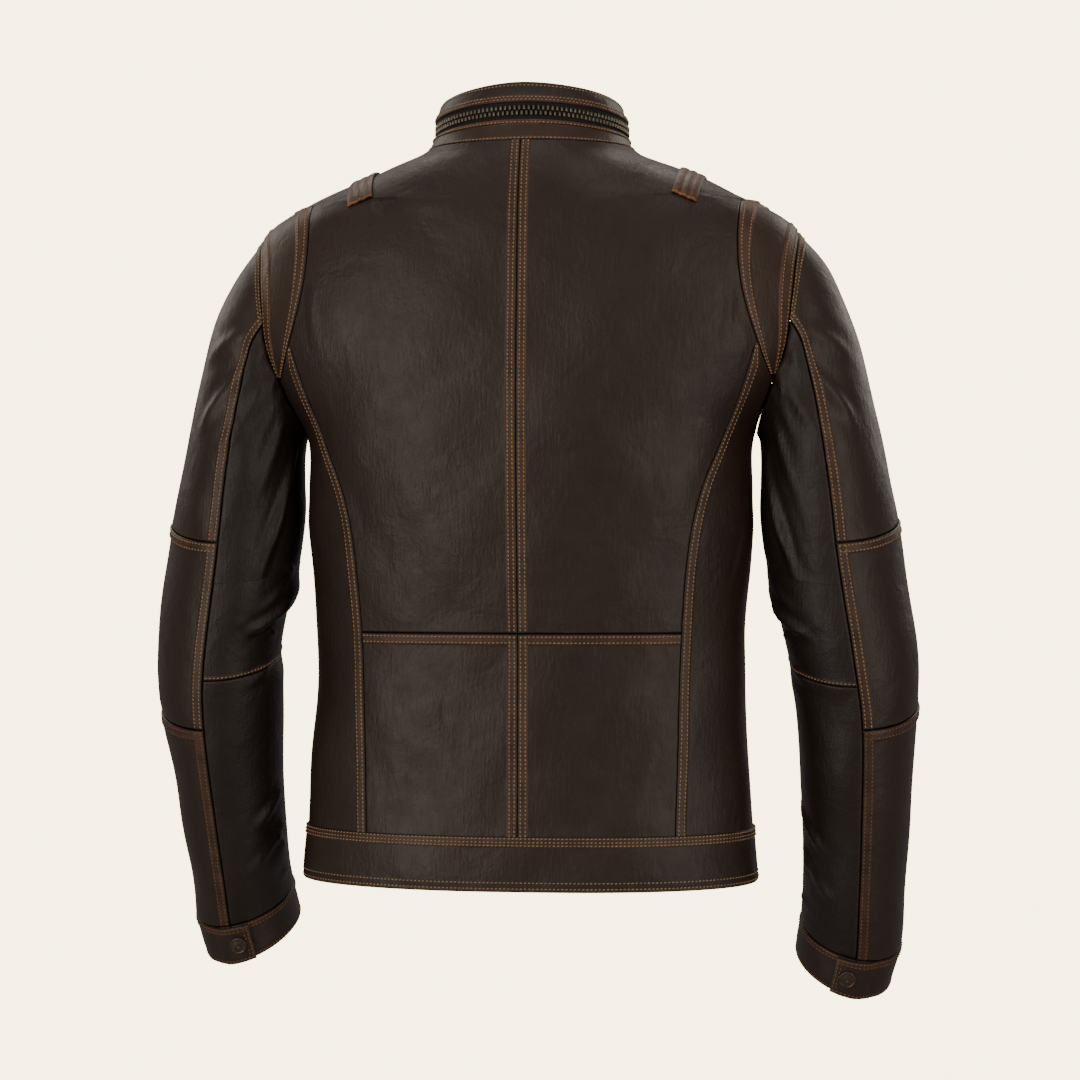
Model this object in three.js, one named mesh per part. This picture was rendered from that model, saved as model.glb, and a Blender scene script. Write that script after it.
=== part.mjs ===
// Leather riding jacket, size M, closed and hanging as worn.
// Millimetres, +Z up, front faces -Y, wearer's left is +X.
// Origin: centre of the neck opening, level with the nape seam.
import * as THREE from 'three';

// ---- Driving dimensions -------------------------------------------------------------------
const NAPE_TO_HEM = 641;
const WAIST_SEAM = 423;
const WAISTBAND_HEIGHT = 47;
const YOKE_SEAM = 186;

const LEATHER = 1.6;
const LINING = 0.8;
const LINING_DEPTH = 7;
const SEAM_GAP = 0.6;
const SEAT_GAP = 0.35;

const FRONT_TOP_Z = 8;
const FRONT_TOP_Y = -107;
const FRONT_SLOPE = 0.022;
const NECK_FRONT_DROP = 40;
const NECK_SIDE_RISE = 3;
const ZIP_HALF_OPENING = 7;

const ARM_Z = -162;
const ARM_HALF_HEIGHT = 88;
const ARM_HALF_DEPTH = 56;
const ARM_Y = -2;
const BAND_TOP = 51;
const BAND_TIP = 212;

const COLLAR_RADIUS = 87;
// The front of the collar stands over the top of the front zip.
const COLLAR_CENTRE_Y = FRONT_TOP_Y + COLLAR_RADIUS;
const COLLAR_FLARE = 5;
const COLLAR_BACK_HEIGHT = 52;
const COLLAR_FRONT_HEIGHT = 37;
const COLLAR_THICK = 3;
const COLLAR_TAPER = 0.36;
const COLLAR_ZIP_Z = 25.3;
const COLLAR_ZIP_HALF = 7.4;
const COLLAR_FRONT_GAP = 9;

const CHAIN_HALF_WIDTH = 3.2;
const CHAIN_RISE = 1.6;
const TAPE_THICK = 0.7;

const BACK_SEAM_ANGLE = 86;
const FRONT_SEAM_ANGLE = 236;
const CUFF_FLAP_START = 60;
const CUFF_FLAP_END = 106;
const SNAP_RADIUS = 7;

// Height of the point at a share of the way from the waist seam (0) to the hem (1).
const belowWaist = (share) => -(WAIST_SEAM + (NAPE_TO_HEM - WAIST_SEAM) * share);
const BAND_SEAM = -(NAPE_TO_HEM - WAISTBAND_HEIGHT);

// Body sections: height, half width, centre y, back y, squareness of the superellipse.
const BODY = [
  [0, COLLAR_RADIUS + COLLAR_FLARE, COLLAR_CENTRE_Y, COLLAR_CENTRE_Y + COLLAR_RADIUS + COLLAR_FLARE, 2.0],
  [-7, COLLAR_RADIUS + 15, COLLAR_CENTRE_Y + 2, COLLAR_CENTRE_Y + COLLAR_RADIUS + 9, 2.0],
  [-18, 131, -15, 81, 2.0],
  [-39, 178, -9, 89, 2.1],
  [-60, 221, -5, 95, 2.2],
  [-74, 236, -4, 98, 2.3],
  [-100, 244, -3, 102, 2.5],
  [-136, 247, -2, 106, 2.6],
  [-175, 241, -2, 110, 2.6],
  [-213, 221, -2, 112, 2.5],
  [-250, 199, -2, 112, 2.45],
  [-300, 196, -2, 109, 2.4],
  [-336, 196.5, -2, 106, 2.35],
  [-WAIST_SEAM, 189.5, -2, 97, 2.3],
  [belowWaist(0.284), 190.5, -2, 96, 2.3],
  [belowWaist(0.674), 195.5, -2, 98, 2.3],
  [-NAPE_TO_HEM, 201, -2, 101, 2.3],
];

// Sleeve rings: outer x, outer z, inner x, inner z, half depth, centre y.
const SLEEVE = [
  [235, -74, 199, -250, 56, -2],
  [265, -113, 200.5, -253, 60, -2],
  [288, -165, 202, -258, 62, -3],
  [305, -240, 203.5, -275, 64, -3],
  [316, -290, 204, -295, 64, -4],
  [325, -336, 205, -336, 63, -5],
  [337, -430, 219, -430, 60, -8],
  [335, -485, 227, -485, 57, -14],
  [324, -570, 228, -570, 52, -28],
  [316, -634, 226, -630, 48, -40],
  [313, -680, 224, -661, 46, -50],
  [304, -716, 219, -691, 46, -58],
];
const CUFF_TOP = 10;
const CUFF_END = 11;
const PATCH_TOP = 5.05;
const PATCH_END = 7.25;
const UNDER_SPLIT = 5.4;
const UNDER_SEAM = 6.4;
// The rings lean: from the armhole to the elbow their backs come to hang this much lower.
const SLEEVE_LEAN = 20;
// The right forearm hangs this much wider and lower than the left.
const RIGHT_WIDER = 15;
const RIGHT_LOWER = 20;

// ---- Materials ----------------------------------------------------------------------------
function finish(colour, roughness, metalness) {
  return new THREE.MeshStandardMaterial({ color: colour, roughness, metalness });
}
const leather = finish(0x37291f, 0.45, 0);
const darkLeather = finish(0x2b201a, 0.5, 0);
const satin = finish(0x221c1a, 0.5, 0);
const brass = finish(0x6b5a3c, 0.4, 0.9);
const bronze = finish(0x3b332c, 0.35, 0.9);

// ---- Curves and surfaces ------------------------------------------------------------------
const smooth = (lo, hi, x) => {
  const s = Math.min(1, Math.max(0, (x - lo) / (hi - lo)));
  return s * s * (3 - 2 * s);
};

// Hermite curve through the rows of a table, by the row's place `p` (a falling height or an index).
function rowAt(table, places, p) {
  const last = table.length - 1;
  let k = 0;
  while (k < last - 1 && p > places[k + 1]) k += 1;
  const slope = (i, c) => {
    const lo = Math.max(0, i - 1);
    const hi = Math.min(last, i + 1);
    return (table[hi][c] - table[lo][c]) / (places[hi] - places[lo]);
  };
  const span = places[k + 1] - places[k];
  const s = Math.min(1, Math.max(0, (p - places[k]) / span));
  return table[k].map((value, c) => {
    const h00 = (1 + 2 * s) * (1 - s) ** 2;
    const h10 = s * (1 - s) ** 2;
    const h01 = s * s * (3 - 2 * s);
    const h11 = s * s * (s - 1);
    return h00 * value + h10 * span * slope(k, c) + h01 * table[k + 1][c] + h11 * span * slope(k + 1, c);
  });
}
const bodyPlaces = BODY.map((row) => -row[0]);
const sleevePlaces = SLEEVE.map((row, i) => i);
const bodyAt = (height) => rowAt(BODY, bodyPlaces, -height);
const sleeveAt = (v) => rowAt(SLEEVE, sleevePlaces, v);
const frontY = (z) => FRONT_TOP_Y - FRONT_SLOPE * (FRONT_TOP_Z - z);

// The body: t runs from the centre back (0) past the side (0.5) to the centre front (1).
function body(side, t, height) {
  const [, half, centre, back, n] = bodyAt(height);
  const near = smooth(-74, 0, height);
  const z = height + near * (NECK_SIDE_RISE * Math.sin(Math.PI * t) ** 2
    - NECK_FRONT_DROP * smooth(0.45, 1, t));
  const front = frontY(height - near * NECK_FRONT_DROP);
  const s = Math.sin(Math.PI * t);
  const c = Math.cos(Math.PI * t);
  const depth = c > 0 ? back - centre : front - centre;
  return new THREE.Vector3(
    side * half * Math.abs(s) ** (2 / n), centre + depth * Math.abs(c) ** (2 / n), z);
}

// t of the point that lies at distance x from the centre line, on the back or on the front.
function tAt(x, height, onFront) {
  const [, half, , , n] = bodyAt(height);
  const t = Math.asin(Math.min(1, x / half) ** (n / 2)) / Math.PI;
  return onFront ? 1 - t : t;
}

// The armhole: an oval in y and z, laid on the body. `grow` widens it.
function armhole(angle, grow = 0) {
  const y = ARM_Y + (ARM_HALF_DEPTH + grow) * Math.sin(angle);
  const height = Math.min(-74, ARM_Z + (ARM_HALF_HEIGHT + grow) * Math.cos(angle));
  const [, , centre, back, n] = bodyAt(height);
  const depth = y > centre ? back - centre : frontY(height) - centre;
  const c = Math.min(1, (y - centre) / depth) ** (n / 2);
  const t = (y > centre ? Math.acos(c) : Math.PI - Math.acos(c)) / Math.PI;
  return { t, height };
}

// t of the armhole's edge at a height, on the back or on the front.
function armholeT(height, onFront) {
  const c = (height - ARM_Z) / (ARM_HALF_HEIGHT + SEAM_GAP);
  const angle = Math.acos(Math.min(1, Math.max(-1, c)));
  return armhole(onFront ? -angle : angle, SEAM_GAP).t;
}

// The sleeve: angle 0 is its outer side, 90 its back, 180 its inner side, 270 its front.
function sleeve(side, degrees, v) {
  const angle = THREE.MathUtils.degToRad(degrees);
  const ring = (row) => new THREE.Vector3(
    (row[0] + row[2]) / 2 + ((row[0] - row[2]) / 2) * Math.cos(angle),
    row[5] + row[4] * Math.sin(angle),
    (row[1] + row[3]) / 2 + ((row[1] - row[3]) / 2) * Math.cos(angle));
  const point = ring(sleeveAt(v));
  const hold = 1 - smooth(0, 2, v);
  if (hold > 0) {
    const edge = armhole(angle);
    const seam = body(1, edge.t, edge.height);
    point.addScaledVector(seam.sub(ring(SLEEVE[0])), hold);
  }
  point.z -= SLEEVE_LEAN * smooth(1, 5, v) * Math.sin(angle);
  if (side < 0) {
    point.x += RIGHT_WIDER * smooth(5, 9.5, v);
    point.z -= RIGHT_LOWER * smooth(5.5, 10, v);
  }
  point.x *= side;
  return point;
}

// The point `lift` outside a surface: along the normal, away from `inside`.
function lifted(surface, p, q, dp, dq, inside, lift) {
  const at = surface(p, q);
  const across = surface(p + dp, q).sub(surface(p - dp, q));
  const along = surface(p, q + dq).sub(surface(p, q - dq));
  const normal = across.cross(along).normalize();
  if (normal.dot(at.clone().sub(inside)) < 0) normal.negate();
  return at.addScaledVector(normal, lift);
}
function onBody(side, t, height, lift) {
  const inside = new THREE.Vector3(0, bodyAt(height)[2], height - 60);
  const h = Math.max(-NAPE_TO_HEM + 0.5, Math.min(-0.5, height));
  const u = Math.max(0.012, Math.min(0.988, t));
  const surface = (p, q) => body(side, p, q);
  const at = body(side, t, height);
  const near = surface(u, h);
  return at.add(lifted(surface, u, h, 0.01, 0.5, inside, lift).sub(near));
}
function onSleeve(side, degrees, v, lift) {
  const row = sleeveAt(v);
  const inside = new THREE.Vector3(side * (row[0] + row[2]) / 2, row[5], (row[1] + row[3]) / 2);
  const w = Math.max(0.05, Math.min(CUFF_END - 0.05, v));
  const surface = (p, q) => sleeve(side, p, q);
  const at = sleeve(side, degrees, v);
  const near = surface(degrees, w);
  return at.add(lifted(surface, degrees, w, 2, 0.04, inside, lift).sub(near));
}

// ---- Solids -------------------------------------------------------------------------------
const jacket = new THREE.Group();

function solid(name, vertices, faces, material, parent = jacket) {
  let volume = 0;
  const a = new THREE.Vector3();
  for (const [i, j, k] of faces) {
    volume += a.copy(vertices[i]).cross(vertices[j]).dot(vertices[k]);
  }
  const geometry = new THREE.BufferGeometry();
  const flat = vertices.flatMap((p) => [p.x, p.y, p.z]);
  geometry.setAttribute('position', new THREE.Float32BufferAttribute(flat, 3));
  geometry.setIndex(faces.flatMap(([i, j, k]) => (volume > 0 ? [i, j, k] : [i, k, j])));
  geometry.computeVertexNormals();
  const mesh = new THREE.Mesh(geometry, material);
  mesh.name = name;
  parent.add(mesh);
  return mesh;
}

// A closed slab between two grids of points: at(i, j, face), face 0 outside and 1 inside.
// `ring` joins the last column to the first.
function slab(name, columns, rows, at, material, ring = false, parent = jacket) {
  const wide = ring ? columns : columns + 1;
  const vertices = [];
  for (const face of [0, 1]) {
    for (let j = 0; j <= rows; j += 1) {
      for (let i = 0; i < wide; i += 1) vertices.push(at(i, j, face));
    }
  }
  const layer = wide * (rows + 1);
  const id = (i, j, face) => face * layer + j * wide + (i % wide);
  const faces = [];
  const quad = (a, b, c, d) => faces.push([a, b, c], [a, c, d]);
  for (let j = 0; j < rows; j += 1) {
    for (let i = 0; i < columns; i += 1) {
      quad(id(i, j, 0), id(i + 1, j, 0), id(i + 1, j + 1, 0), id(i, j + 1, 0));
      quad(id(i, j, 1), id(i, j + 1, 1), id(i + 1, j + 1, 1), id(i + 1, j, 1));
    }
  }
  for (let i = 0; i < columns; i += 1) {
    quad(id(i, 0, 0), id(i, 0, 1), id(i + 1, 0, 1), id(i + 1, 0, 0));
    quad(id(i, rows, 0), id(i + 1, rows, 0), id(i + 1, rows, 1), id(i, rows, 1));
  }
  if (!ring) {
    for (let j = 0; j < rows; j += 1) {
      quad(id(0, j, 0), id(0, j + 1, 0), id(0, j + 1, 1), id(0, j, 1));
      quad(id(columns, j, 0), id(columns, j, 1), id(columns, j + 1, 1), id(columns, j + 1, 0));
    }
  }
  return solid(name, vertices, faces, material, parent);
}

// A box given by its corners.
function block(name, low, high, material, parent) {
  const at = (i, j, face) => new THREE.Vector3(
    i ? high[0] : low[0], face ? high[1] : low[1], j ? high[2] : low[2]);
  return slab(name, 1, 1, at, material, false, parent);
}

// A panel of the body: rows at the heights, each from tFrom to tTo.
function bodyPanel(name, side, heights, tFrom, tTo, columns, lift, thick, material) {
  const halfGirth = 420;
  const inset = SEAM_GAP / 2 / halfGirth;
  const last = heights.length - 1;
  const at = (i, j, face) => {
    const trim = j === 0 ? -SEAM_GAP / 2 : (j === last ? SEAM_GAP / 2 : 0);
    const from = tFrom(heights[j]);
    const to = tTo(heights[j]);
    const inward = Math.sign(to - from) * inset;
    const t = THREE.MathUtils.lerp(from + inward, to - inward, i / columns);
    const flip = t < 0 ? -1 : 1;
    return onBody(side * flip, Math.abs(t), heights[j] + trim, lift - face * thick);
  };
  return slab(name, columns, last, at, material);
}

const sides = [['left', 1], ['right', -1]];

// ---- Seam lines on the body ---------------------------------------------------------------
// Distance from the centre back of the long curved back seam, by depth below the nape.
const PRINCESS = [[180, 200], [222, 186], [262, 170], [300, 155], [345, 145], [WAIST_SEAM, 138],
  [-BAND_SEAM + 1, 133]];
const princessX = (height) => rowAt(PRINCESS, PRINCESS.map((row) => row[0]), -height)[1];
const princessT = (height) => tAt(princessX(height), height, false);

// Distance from the centre line of the shoulder band's inner seam.
const BAND = [[BAND_TOP, 204], [90, 196], [130, 195], [182, 207], [BAND_TIP, 218]];
const bandX = (height) => rowAt(BAND, BAND.map((row) => row[0]), -height)[1];
function bandT(height, onFront) {
  if (height > -BAND_TOP) return 0.5;
  return tAt(bandX(height), height, onFront);
}

// Where a body panel stops at the side: shoulder seam, shoulder band, armhole, then side seam.
function sideT(height, onFront) {
  if (height > -BAND_TIP) return bandT(height, onFront);
  const underArm = ARM_Z - ARM_HALF_HEIGHT - SEAM_GAP;
  if (height > underArm) return armholeT(height, onFront);
  return 0.5;
}
const zipT = (height) => tAt(ZIP_HALF_OPENING, height, true);

// Heights down the shoulder band's inner seam, closer together where it crosses the shoulder.
const BAND_STEPS = 7;
const BAND_END = 0.94;
const bandHeight = (share) => -BAND_TOP - (BAND_TIP - BAND_TOP) * BAND_END * share ** 1.6;
const BAND_ROWS = Array.from({ length: BAND_STEPS }, (_, k) => bandHeight(k / BAND_STEPS));
const UPPER_ROWS = [0, -10, -25, ...BAND_ROWS, -YOKE_SEAM];
const ARM_ROWS = [-YOKE_SEAM, -194, -200, -BAND_TIP, -225, -236, -244, -249, -251];
const HIP_ROWS = [belowWaist(0.28), belowWaist(0.54)];
const LOWER_ROWS = [-300, -345, -385, -WAIST_SEAM, ...HIP_ROWS];

// ---- Back panels --------------------------------------------------------------------------
for (const [word, side] of sides) {
  const upper = [...UPPER_ROWS, ...ARM_ROWS.slice(1), -300, -345, -385, -WAIST_SEAM];
  const outer = (h) => (h >= -YOKE_SEAM ? bandT(h, false) : princessT(h));
  bodyPanel(`back_upper_${word}`, side, upper, () => 0, outer, 5, 0, LEATHER, leather);
  const lower = [-WAIST_SEAM, ...HIP_ROWS, BAND_SEAM];
  bodyPanel(`back_lower_${word}`, side, lower, () => 0, princessT, 5, 0, LEATHER, leather);
  const flank = [...ARM_ROWS.slice(1), ...LOWER_ROWS, BAND_SEAM];
  bodyPanel(`back_side_${word}`, side, flank, princessT, (h) => sideT(h, false), 4, 0, LEATHER, leather);
}

// ---- Shoulder bands: a strip round the top of each armhole, pointed at both ends ----------
const BAND_COLUMNS = 2 * BAND_STEPS;
const BAND_REACH = Math.acos((-BAND_TIP - ARM_Z) / ARM_HALF_HEIGHT);
for (const [word, side] of sides) {
  const at = (i, j, face) => {
    const share = (i / BAND_COLUMNS) * 2 - 1;
    const angle = share * BAND_REACH * BAND_END;
    const edge = armhole(angle, SEAM_GAP);
    const height = bandHeight(Math.abs(share));
    const innerT = Math.abs(share) < 0.01 ? 0.5 : bandT(height, share < 0);
    const w = 0.02 + 0.96 * (j / 2);
    const t = THREE.MathUtils.lerp(innerT, edge.t, w);
    const h = THREE.MathUtils.lerp(height, edge.height, w);
    return onBody(side, t, h, -face * LEATHER);
  };
  slab(`shoulder_band_${word}`, BAND_COLUMNS, 2, at, leather);
}

// ---- Front panels -------------------------------------------------------------------------
for (const [word, side] of sides) {
  bodyPanel(`front_yoke_${word}`, side, UPPER_ROWS, (h) => bandT(h, true), zipT, 5, 0, LEATHER, leather);
  const rows = [...ARM_ROWS, ...LOWER_ROWS, BAND_SEAM];
  bodyPanel(`front_panel_${word}`, side, rows, (h) => sideT(h, true), zipT, 6, 0, LEATHER, leather);
}

// ---- Waistband ----------------------------------------------------------------------------
const bandRows = [BAND_SEAM, BAND_SEAM - WAISTBAND_HEIGHT / 2, -NAPE_TO_HEM];
bodyPanel('waistband_back', 1, bandRows, () => -0.5, () => 0.5, 16, 1.2, 2.6, leather);
for (const [word, side] of sides) {
  bodyPanel(`waistband_front_${word}`, side, bandRows, () => 0.5, zipT, 8, 1.2, 2.6, leather);
}

// ---- Shoulder tabs: short stitched straps over the shoulder seam --------------------------
const TAB_X = 145;
const TAB_WIDTH = 20;
const TAB_DROP = 18;
const TAB_FRONT = -0.6;
const TAB_STEPS = 10;
// Depth of the shoulder's ridge at a distance from the centre line.
const ridgeDepth = (x) => 18 + (x - 131) * (21 / 47);
for (const [word, side] of sides) {
  const at = (i, j, face) => {
    const across = TAB_X + (j - 0.5) * TAB_WIDTH;
    const along = THREE.MathUtils.lerp(1, TAB_FRONT, i / TAB_STEPS);
    const height = -ridgeDepth(across) - TAB_DROP * along ** 2;
    return onBody(side, tAt(across, height, along < 0), height, SEAT_GAP + 0.2 + (1 - face) * 1.2);
  };
  slab(`shoulder_tab_${word}`, TAB_STEPS, 1, at, leather);
}

// ---- Lining -------------------------------------------------------------------------------
const liningRows = [...UPPER_ROWS.slice(1), ...ARM_ROWS.slice(1), ...LOWER_ROWS, BAND_SEAM];
bodyPanel('lining_back', 1, liningRows, (h) => -sideT(h, false), (h) => sideT(h, false),
  10, -LINING_DEPTH, LINING, satin);
for (const [word, side] of sides) {
  const edge = (h) => tAt(ZIP_HALF_OPENING + 12, h, true);
  bodyPanel(`lining_front_${word}`, side, liningRows, (h) => sideT(h, true), edge,
    5, -LINING_DEPTH, LINING, satin);
}

// ---- Collar: two leather bands with a zip chain between them ------------------------------
const COLLAR_SEGMENTS = 32;
const collarPoint = (angle, radius, z) => new THREE.Vector3(
  radius * Math.sin(angle), COLLAR_CENTRE_Y + radius * Math.cos(angle), z);
const collarFrontShare = (angle) => (1 - Math.cos(angle)) / 2;
const collarReach = (radius) => Math.PI - Math.asin(COLLAR_FRONT_GAP / radius);

// Bottom edge of the collar: the body's neck line.
function neckZ(angle) {
  const t = Math.abs(angle) / Math.PI;
  return NECK_SIDE_RISE * Math.sin(Math.PI * t) ** 2 - NECK_FRONT_DROP * smooth(0.45, 1, t);
}
const collarTopZ = (angle) => THREE.MathUtils.lerp(
  COLLAR_BACK_HEIGHT, COLLAR_FRONT_HEIGHT, collarFrontShare(angle) ** 0.55);

// A band between two heights; `radiusAt(share, height above its lower edge)` is its outside.
function collarBand(name, lowZ, highZ, radiusAt, thick, rows, material) {
  const at = (i, j, face) => {
    const s = j / rows;
    const place = (i / COLLAR_SEGMENTS) * 2 - 1;
    const rough = place * collarReach(COLLAR_RADIUS);
    const radius = radiusAt(s, s * (highZ(rough) - lowZ(rough)));
    const angle = place * collarReach(radius);
    const z = THREE.MathUtils.lerp(lowZ(angle), highZ(angle), s);
    return collarPoint(angle, radius - face * thick, z);
  };
  slab(name, COLLAR_SEGMENTS, rows, at, material);
}
const zipLow = () => COLLAR_ZIP_Z - COLLAR_ZIP_HALF;
const zipHigh = () => COLLAR_ZIP_Z + COLLAR_ZIP_HALF;
const neckEdge = (angle) => neckZ(angle) + 1.2;
collarBand('collar_lower_band', neckEdge, zipLow, (share) => COLLAR_RADIUS + COLLAR_FLARE * (1 - share),
  COLLAR_THICK, 3, leather);
collarBand('collar_upper_band', zipHigh, collarTopZ, (share, rise) => COLLAR_RADIUS - COLLAR_TAPER * rise,
  COLLAR_THICK, 2, leather);

// A zip chain: a tape with the closed rows of teeth standing on its middle, one closed body.
// `place(share, lateral, out)` puts a point of the chain; share runs from one end to the other.
function zipChain(name, rows, halfTape, place, parent = jacket) {
  const lateral = [-halfTape, -CHAIN_HALF_WIDTH, -CHAIN_HALF_WIDTH + 0.4,
    CHAIN_HALF_WIDTH - 0.4, CHAIN_HALF_WIDTH, halfTape];
  const at = (i, j, face) => {
    const raised = face === 0 && (i === 2 || i === 3);
    return place(j / rows, lateral[i], face === 1 ? -TAPE_THICK : (raised ? CHAIN_RISE : 0));
  };
  return slab(name, 5, rows, at, brass, false, parent);
}
const chainRadius = COLLAR_RADIUS - COLLAR_THICK - 0.9;
const chainReach = collarReach(COLLAR_RADIUS - 3) - 0.03;
zipChain('collar_zip_chain', COLLAR_SEGMENTS, COLLAR_ZIP_HALF + 1.5, (share, lateral, out) => collarPoint(
  (1 - 2 * share) * chainReach, chainRadius + out, COLLAR_ZIP_Z + lateral));

// A slider and its pull, built round the zip's own axes: x across, -y out, z along.
const SLIDER_WIDTH = 9;
const SLIDER_LENGTH = 12;
const SLIDER_THICK = 2.2;
const PULL_WIDTH = 6;
const PULL_THICK = 1.4;
const PULL_EYE = 0.4;
function sliderAndPull(name, anchor, turn, rise, thick, pullLength) {
  const holder = new THREE.Group();
  holder.position.copy(anchor);
  holder.rotation.order = 'ZXY';
  holder.rotation.set(turn.x ?? 0, turn.y ?? 0, turn.z ?? 0);
  jacket.add(holder);
  const face = -rise;
  block(`${name}_slider`, [-SLIDER_WIDTH / 2, face - thick, -SLIDER_LENGTH / 2],
    [SLIDER_WIDTH / 2, face, SLIDER_LENGTH / 2], brass, holder);
  const hang = face - thick - SEAT_GAP;
  block(`${name}_pull`, [-PULL_WIDTH / 2, hang - PULL_THICK, -pullLength],
    [PULL_WIDTH / 2, hang, PULL_EYE], brass, holder);
}
const COLLAR_SLIDER_ANGLE = 2.86;
const COLLAR_SLIDER_THICK = 4.6;
const COLLAR_PULL_LENGTH = 13;
sliderAndPull('collar_zip', collarPoint(COLLAR_SLIDER_ANGLE, chainRadius, COLLAR_ZIP_Z),
  { z: Math.PI - COLLAR_SLIDER_ANGLE }, CHAIN_RISE + SEAT_GAP, COLLAR_SLIDER_THICK, COLLAR_PULL_LENGTH);

// ---- Hanger loop: a flat strap inside the neck --------------------------------------------
const LOOP_SPAN = 70;
const LOOP_WIDTH = 6;
slab('hanger_loop', 12, 1, (i, j, face) => {
  const s = i / 12 * 2 - 1;
  const angle = (s * LOOP_SPAN / 2) / COLLAR_RADIUS;
  const bow = 8 * (1 - s * s);
  return collarPoint(angle, COLLAR_RADIUS + 1.4 - SEAT_GAP - bow - face * 1.2,
    -3.6 - bow * 0.6 + j * LOOP_WIDTH);
}, darkLeather);

// ---- Front zip ----------------------------------------------------------------------------
const zipGroup = new THREE.Group();
zipGroup.position.set(0, FRONT_TOP_Y, FRONT_TOP_Z);
zipGroup.rotation.x = -Math.atan(FRONT_SLOPE);
jacket.add(zipGroup);
const ZIP_LENGTH = NAPE_TO_HEM + FRONT_TOP_Z - 2;
const ZIP_SINK = LEATHER + 2 * SEAT_GAP;
const TAPE_REACH = COLLAR_FRONT_GAP - 0.4;
for (const [word, side] of sides) {
  const at = (i, j, face) => {
    const x = [SEAM_GAP / 2, CHAIN_HALF_WIDTH - 0.4, CHAIN_HALF_WIDTH, TAPE_REACH][i];
    const out = face === 1 ? -TAPE_THICK : (i < 2 ? CHAIN_RISE : 0);
    return new THREE.Vector3(side * x, ZIP_SINK - out, -j * ZIP_LENGTH);
  };
  slab(`front_zip_stringer_${word}`, 3, 1, at, brass, false, zipGroup);
}
const ZIP_START = 10;
const FRONT_PULL_LENGTH = 26;
sliderAndPull('front_zip',
  new THREE.Vector3(0, FRONT_TOP_Y - FRONT_SLOPE * ZIP_START, FRONT_TOP_Z - ZIP_START),
  { x: -Math.atan(FRONT_SLOPE) }, CHAIN_RISE - ZIP_SINK + SEAT_GAP, SLIDER_THICK, FRONT_PULL_LENGTH);

// ---- Hand pockets: a slanted zip in a leather welt on each front panel --------------------
// The slot is this much longer than the line between its two marks.
const POCKET_EXTRA = 2;
const POCKET_TOP = -395;
const POCKET_END = belowWaist(0.54);
const POCKET_TOP_X = 112;
const POCKET_END_X = 142;
const POCKET_LIFT = 0.75;
for (const [word, side] of sides) {
  const mark = (x, h) => body(side, tAt(x, h, true), h);
  const top = mark(POCKET_TOP_X, POCKET_TOP);
  const end = mark(POCKET_END_X, POCKET_END);
  const along = top.clone().sub(end).normalize();
  const middle = top.clone().add(end).multiplyScalar(0.5);
  const t = tAt((POCKET_TOP_X + POCKET_END_X) / 2, (POCKET_TOP + POCKET_END) / 2, true);
  const skin = onBody(side, t, (POCKET_TOP + POCKET_END) / 2, 0);
  const outer = onBody(side, t, (POCKET_TOP + POCKET_END) / 2, 1).sub(skin).normalize();
  const out = outer.addScaledVector(along, -outer.dot(along)).normalize();
  const across = along.clone().cross(out.clone().negate()).negate();
  const group = new THREE.Group();
  const basis = new THREE.Matrix4().makeBasis(across, out.clone().negate(), along);
  group.quaternion.setFromRotationMatrix(basis);
  group.position.copy(middle).addScaledVector(out, POCKET_LIFT);
  jacket.add(group);
  const half = (top.distanceTo(end) + POCKET_EXTRA) / 2;
  const welt = (i, j, face) => {
    const ring = [[-9, -half - 6], [9, -half - 6], [9, half + 6], [-9, half + 6]];
    const hole = [[-3.6, -half], [3.6, -half], [3.6, half], [-3.6, half]];
    const [x, z] = (j === 0 ? ring : hole)[i % 4];
    return new THREE.Vector3(x, face === 0 ? -1.2 : 0, z);
  };
  slab(`pocket_welt_${word}`, 4, 1, welt, leather, true, group);
  slab(`pocket_zip_chain_${word}`, 3, 1, (i, j, face) => {
    const x = [-3.2, -2.8, 2.8, 3.2][i];
    const raised = face === 0 && (i === 1 || i === 2);
    return new THREE.Vector3(x, face === 1 ? 0.6 : (raised ? -1.4 : -0.2), (half - 2) * (1 - 2 * j));
  }, brass, false, group);
  const face = -1.4 - SEAT_GAP;
  block(`pocket_zip_slider_${word}`, [-3, face - 1.8, half - 14], [3, face, half - 4], brass, group);
  const hang = face - 1.8 - SEAT_GAP;
  const eye = half - 9;
  block(`pocket_zip_pull_${word}`, [-2.5, hang - PULL_THICK, eye - 26], [2.5, hang, eye + PULL_EYE], brass, group);
}

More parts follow.
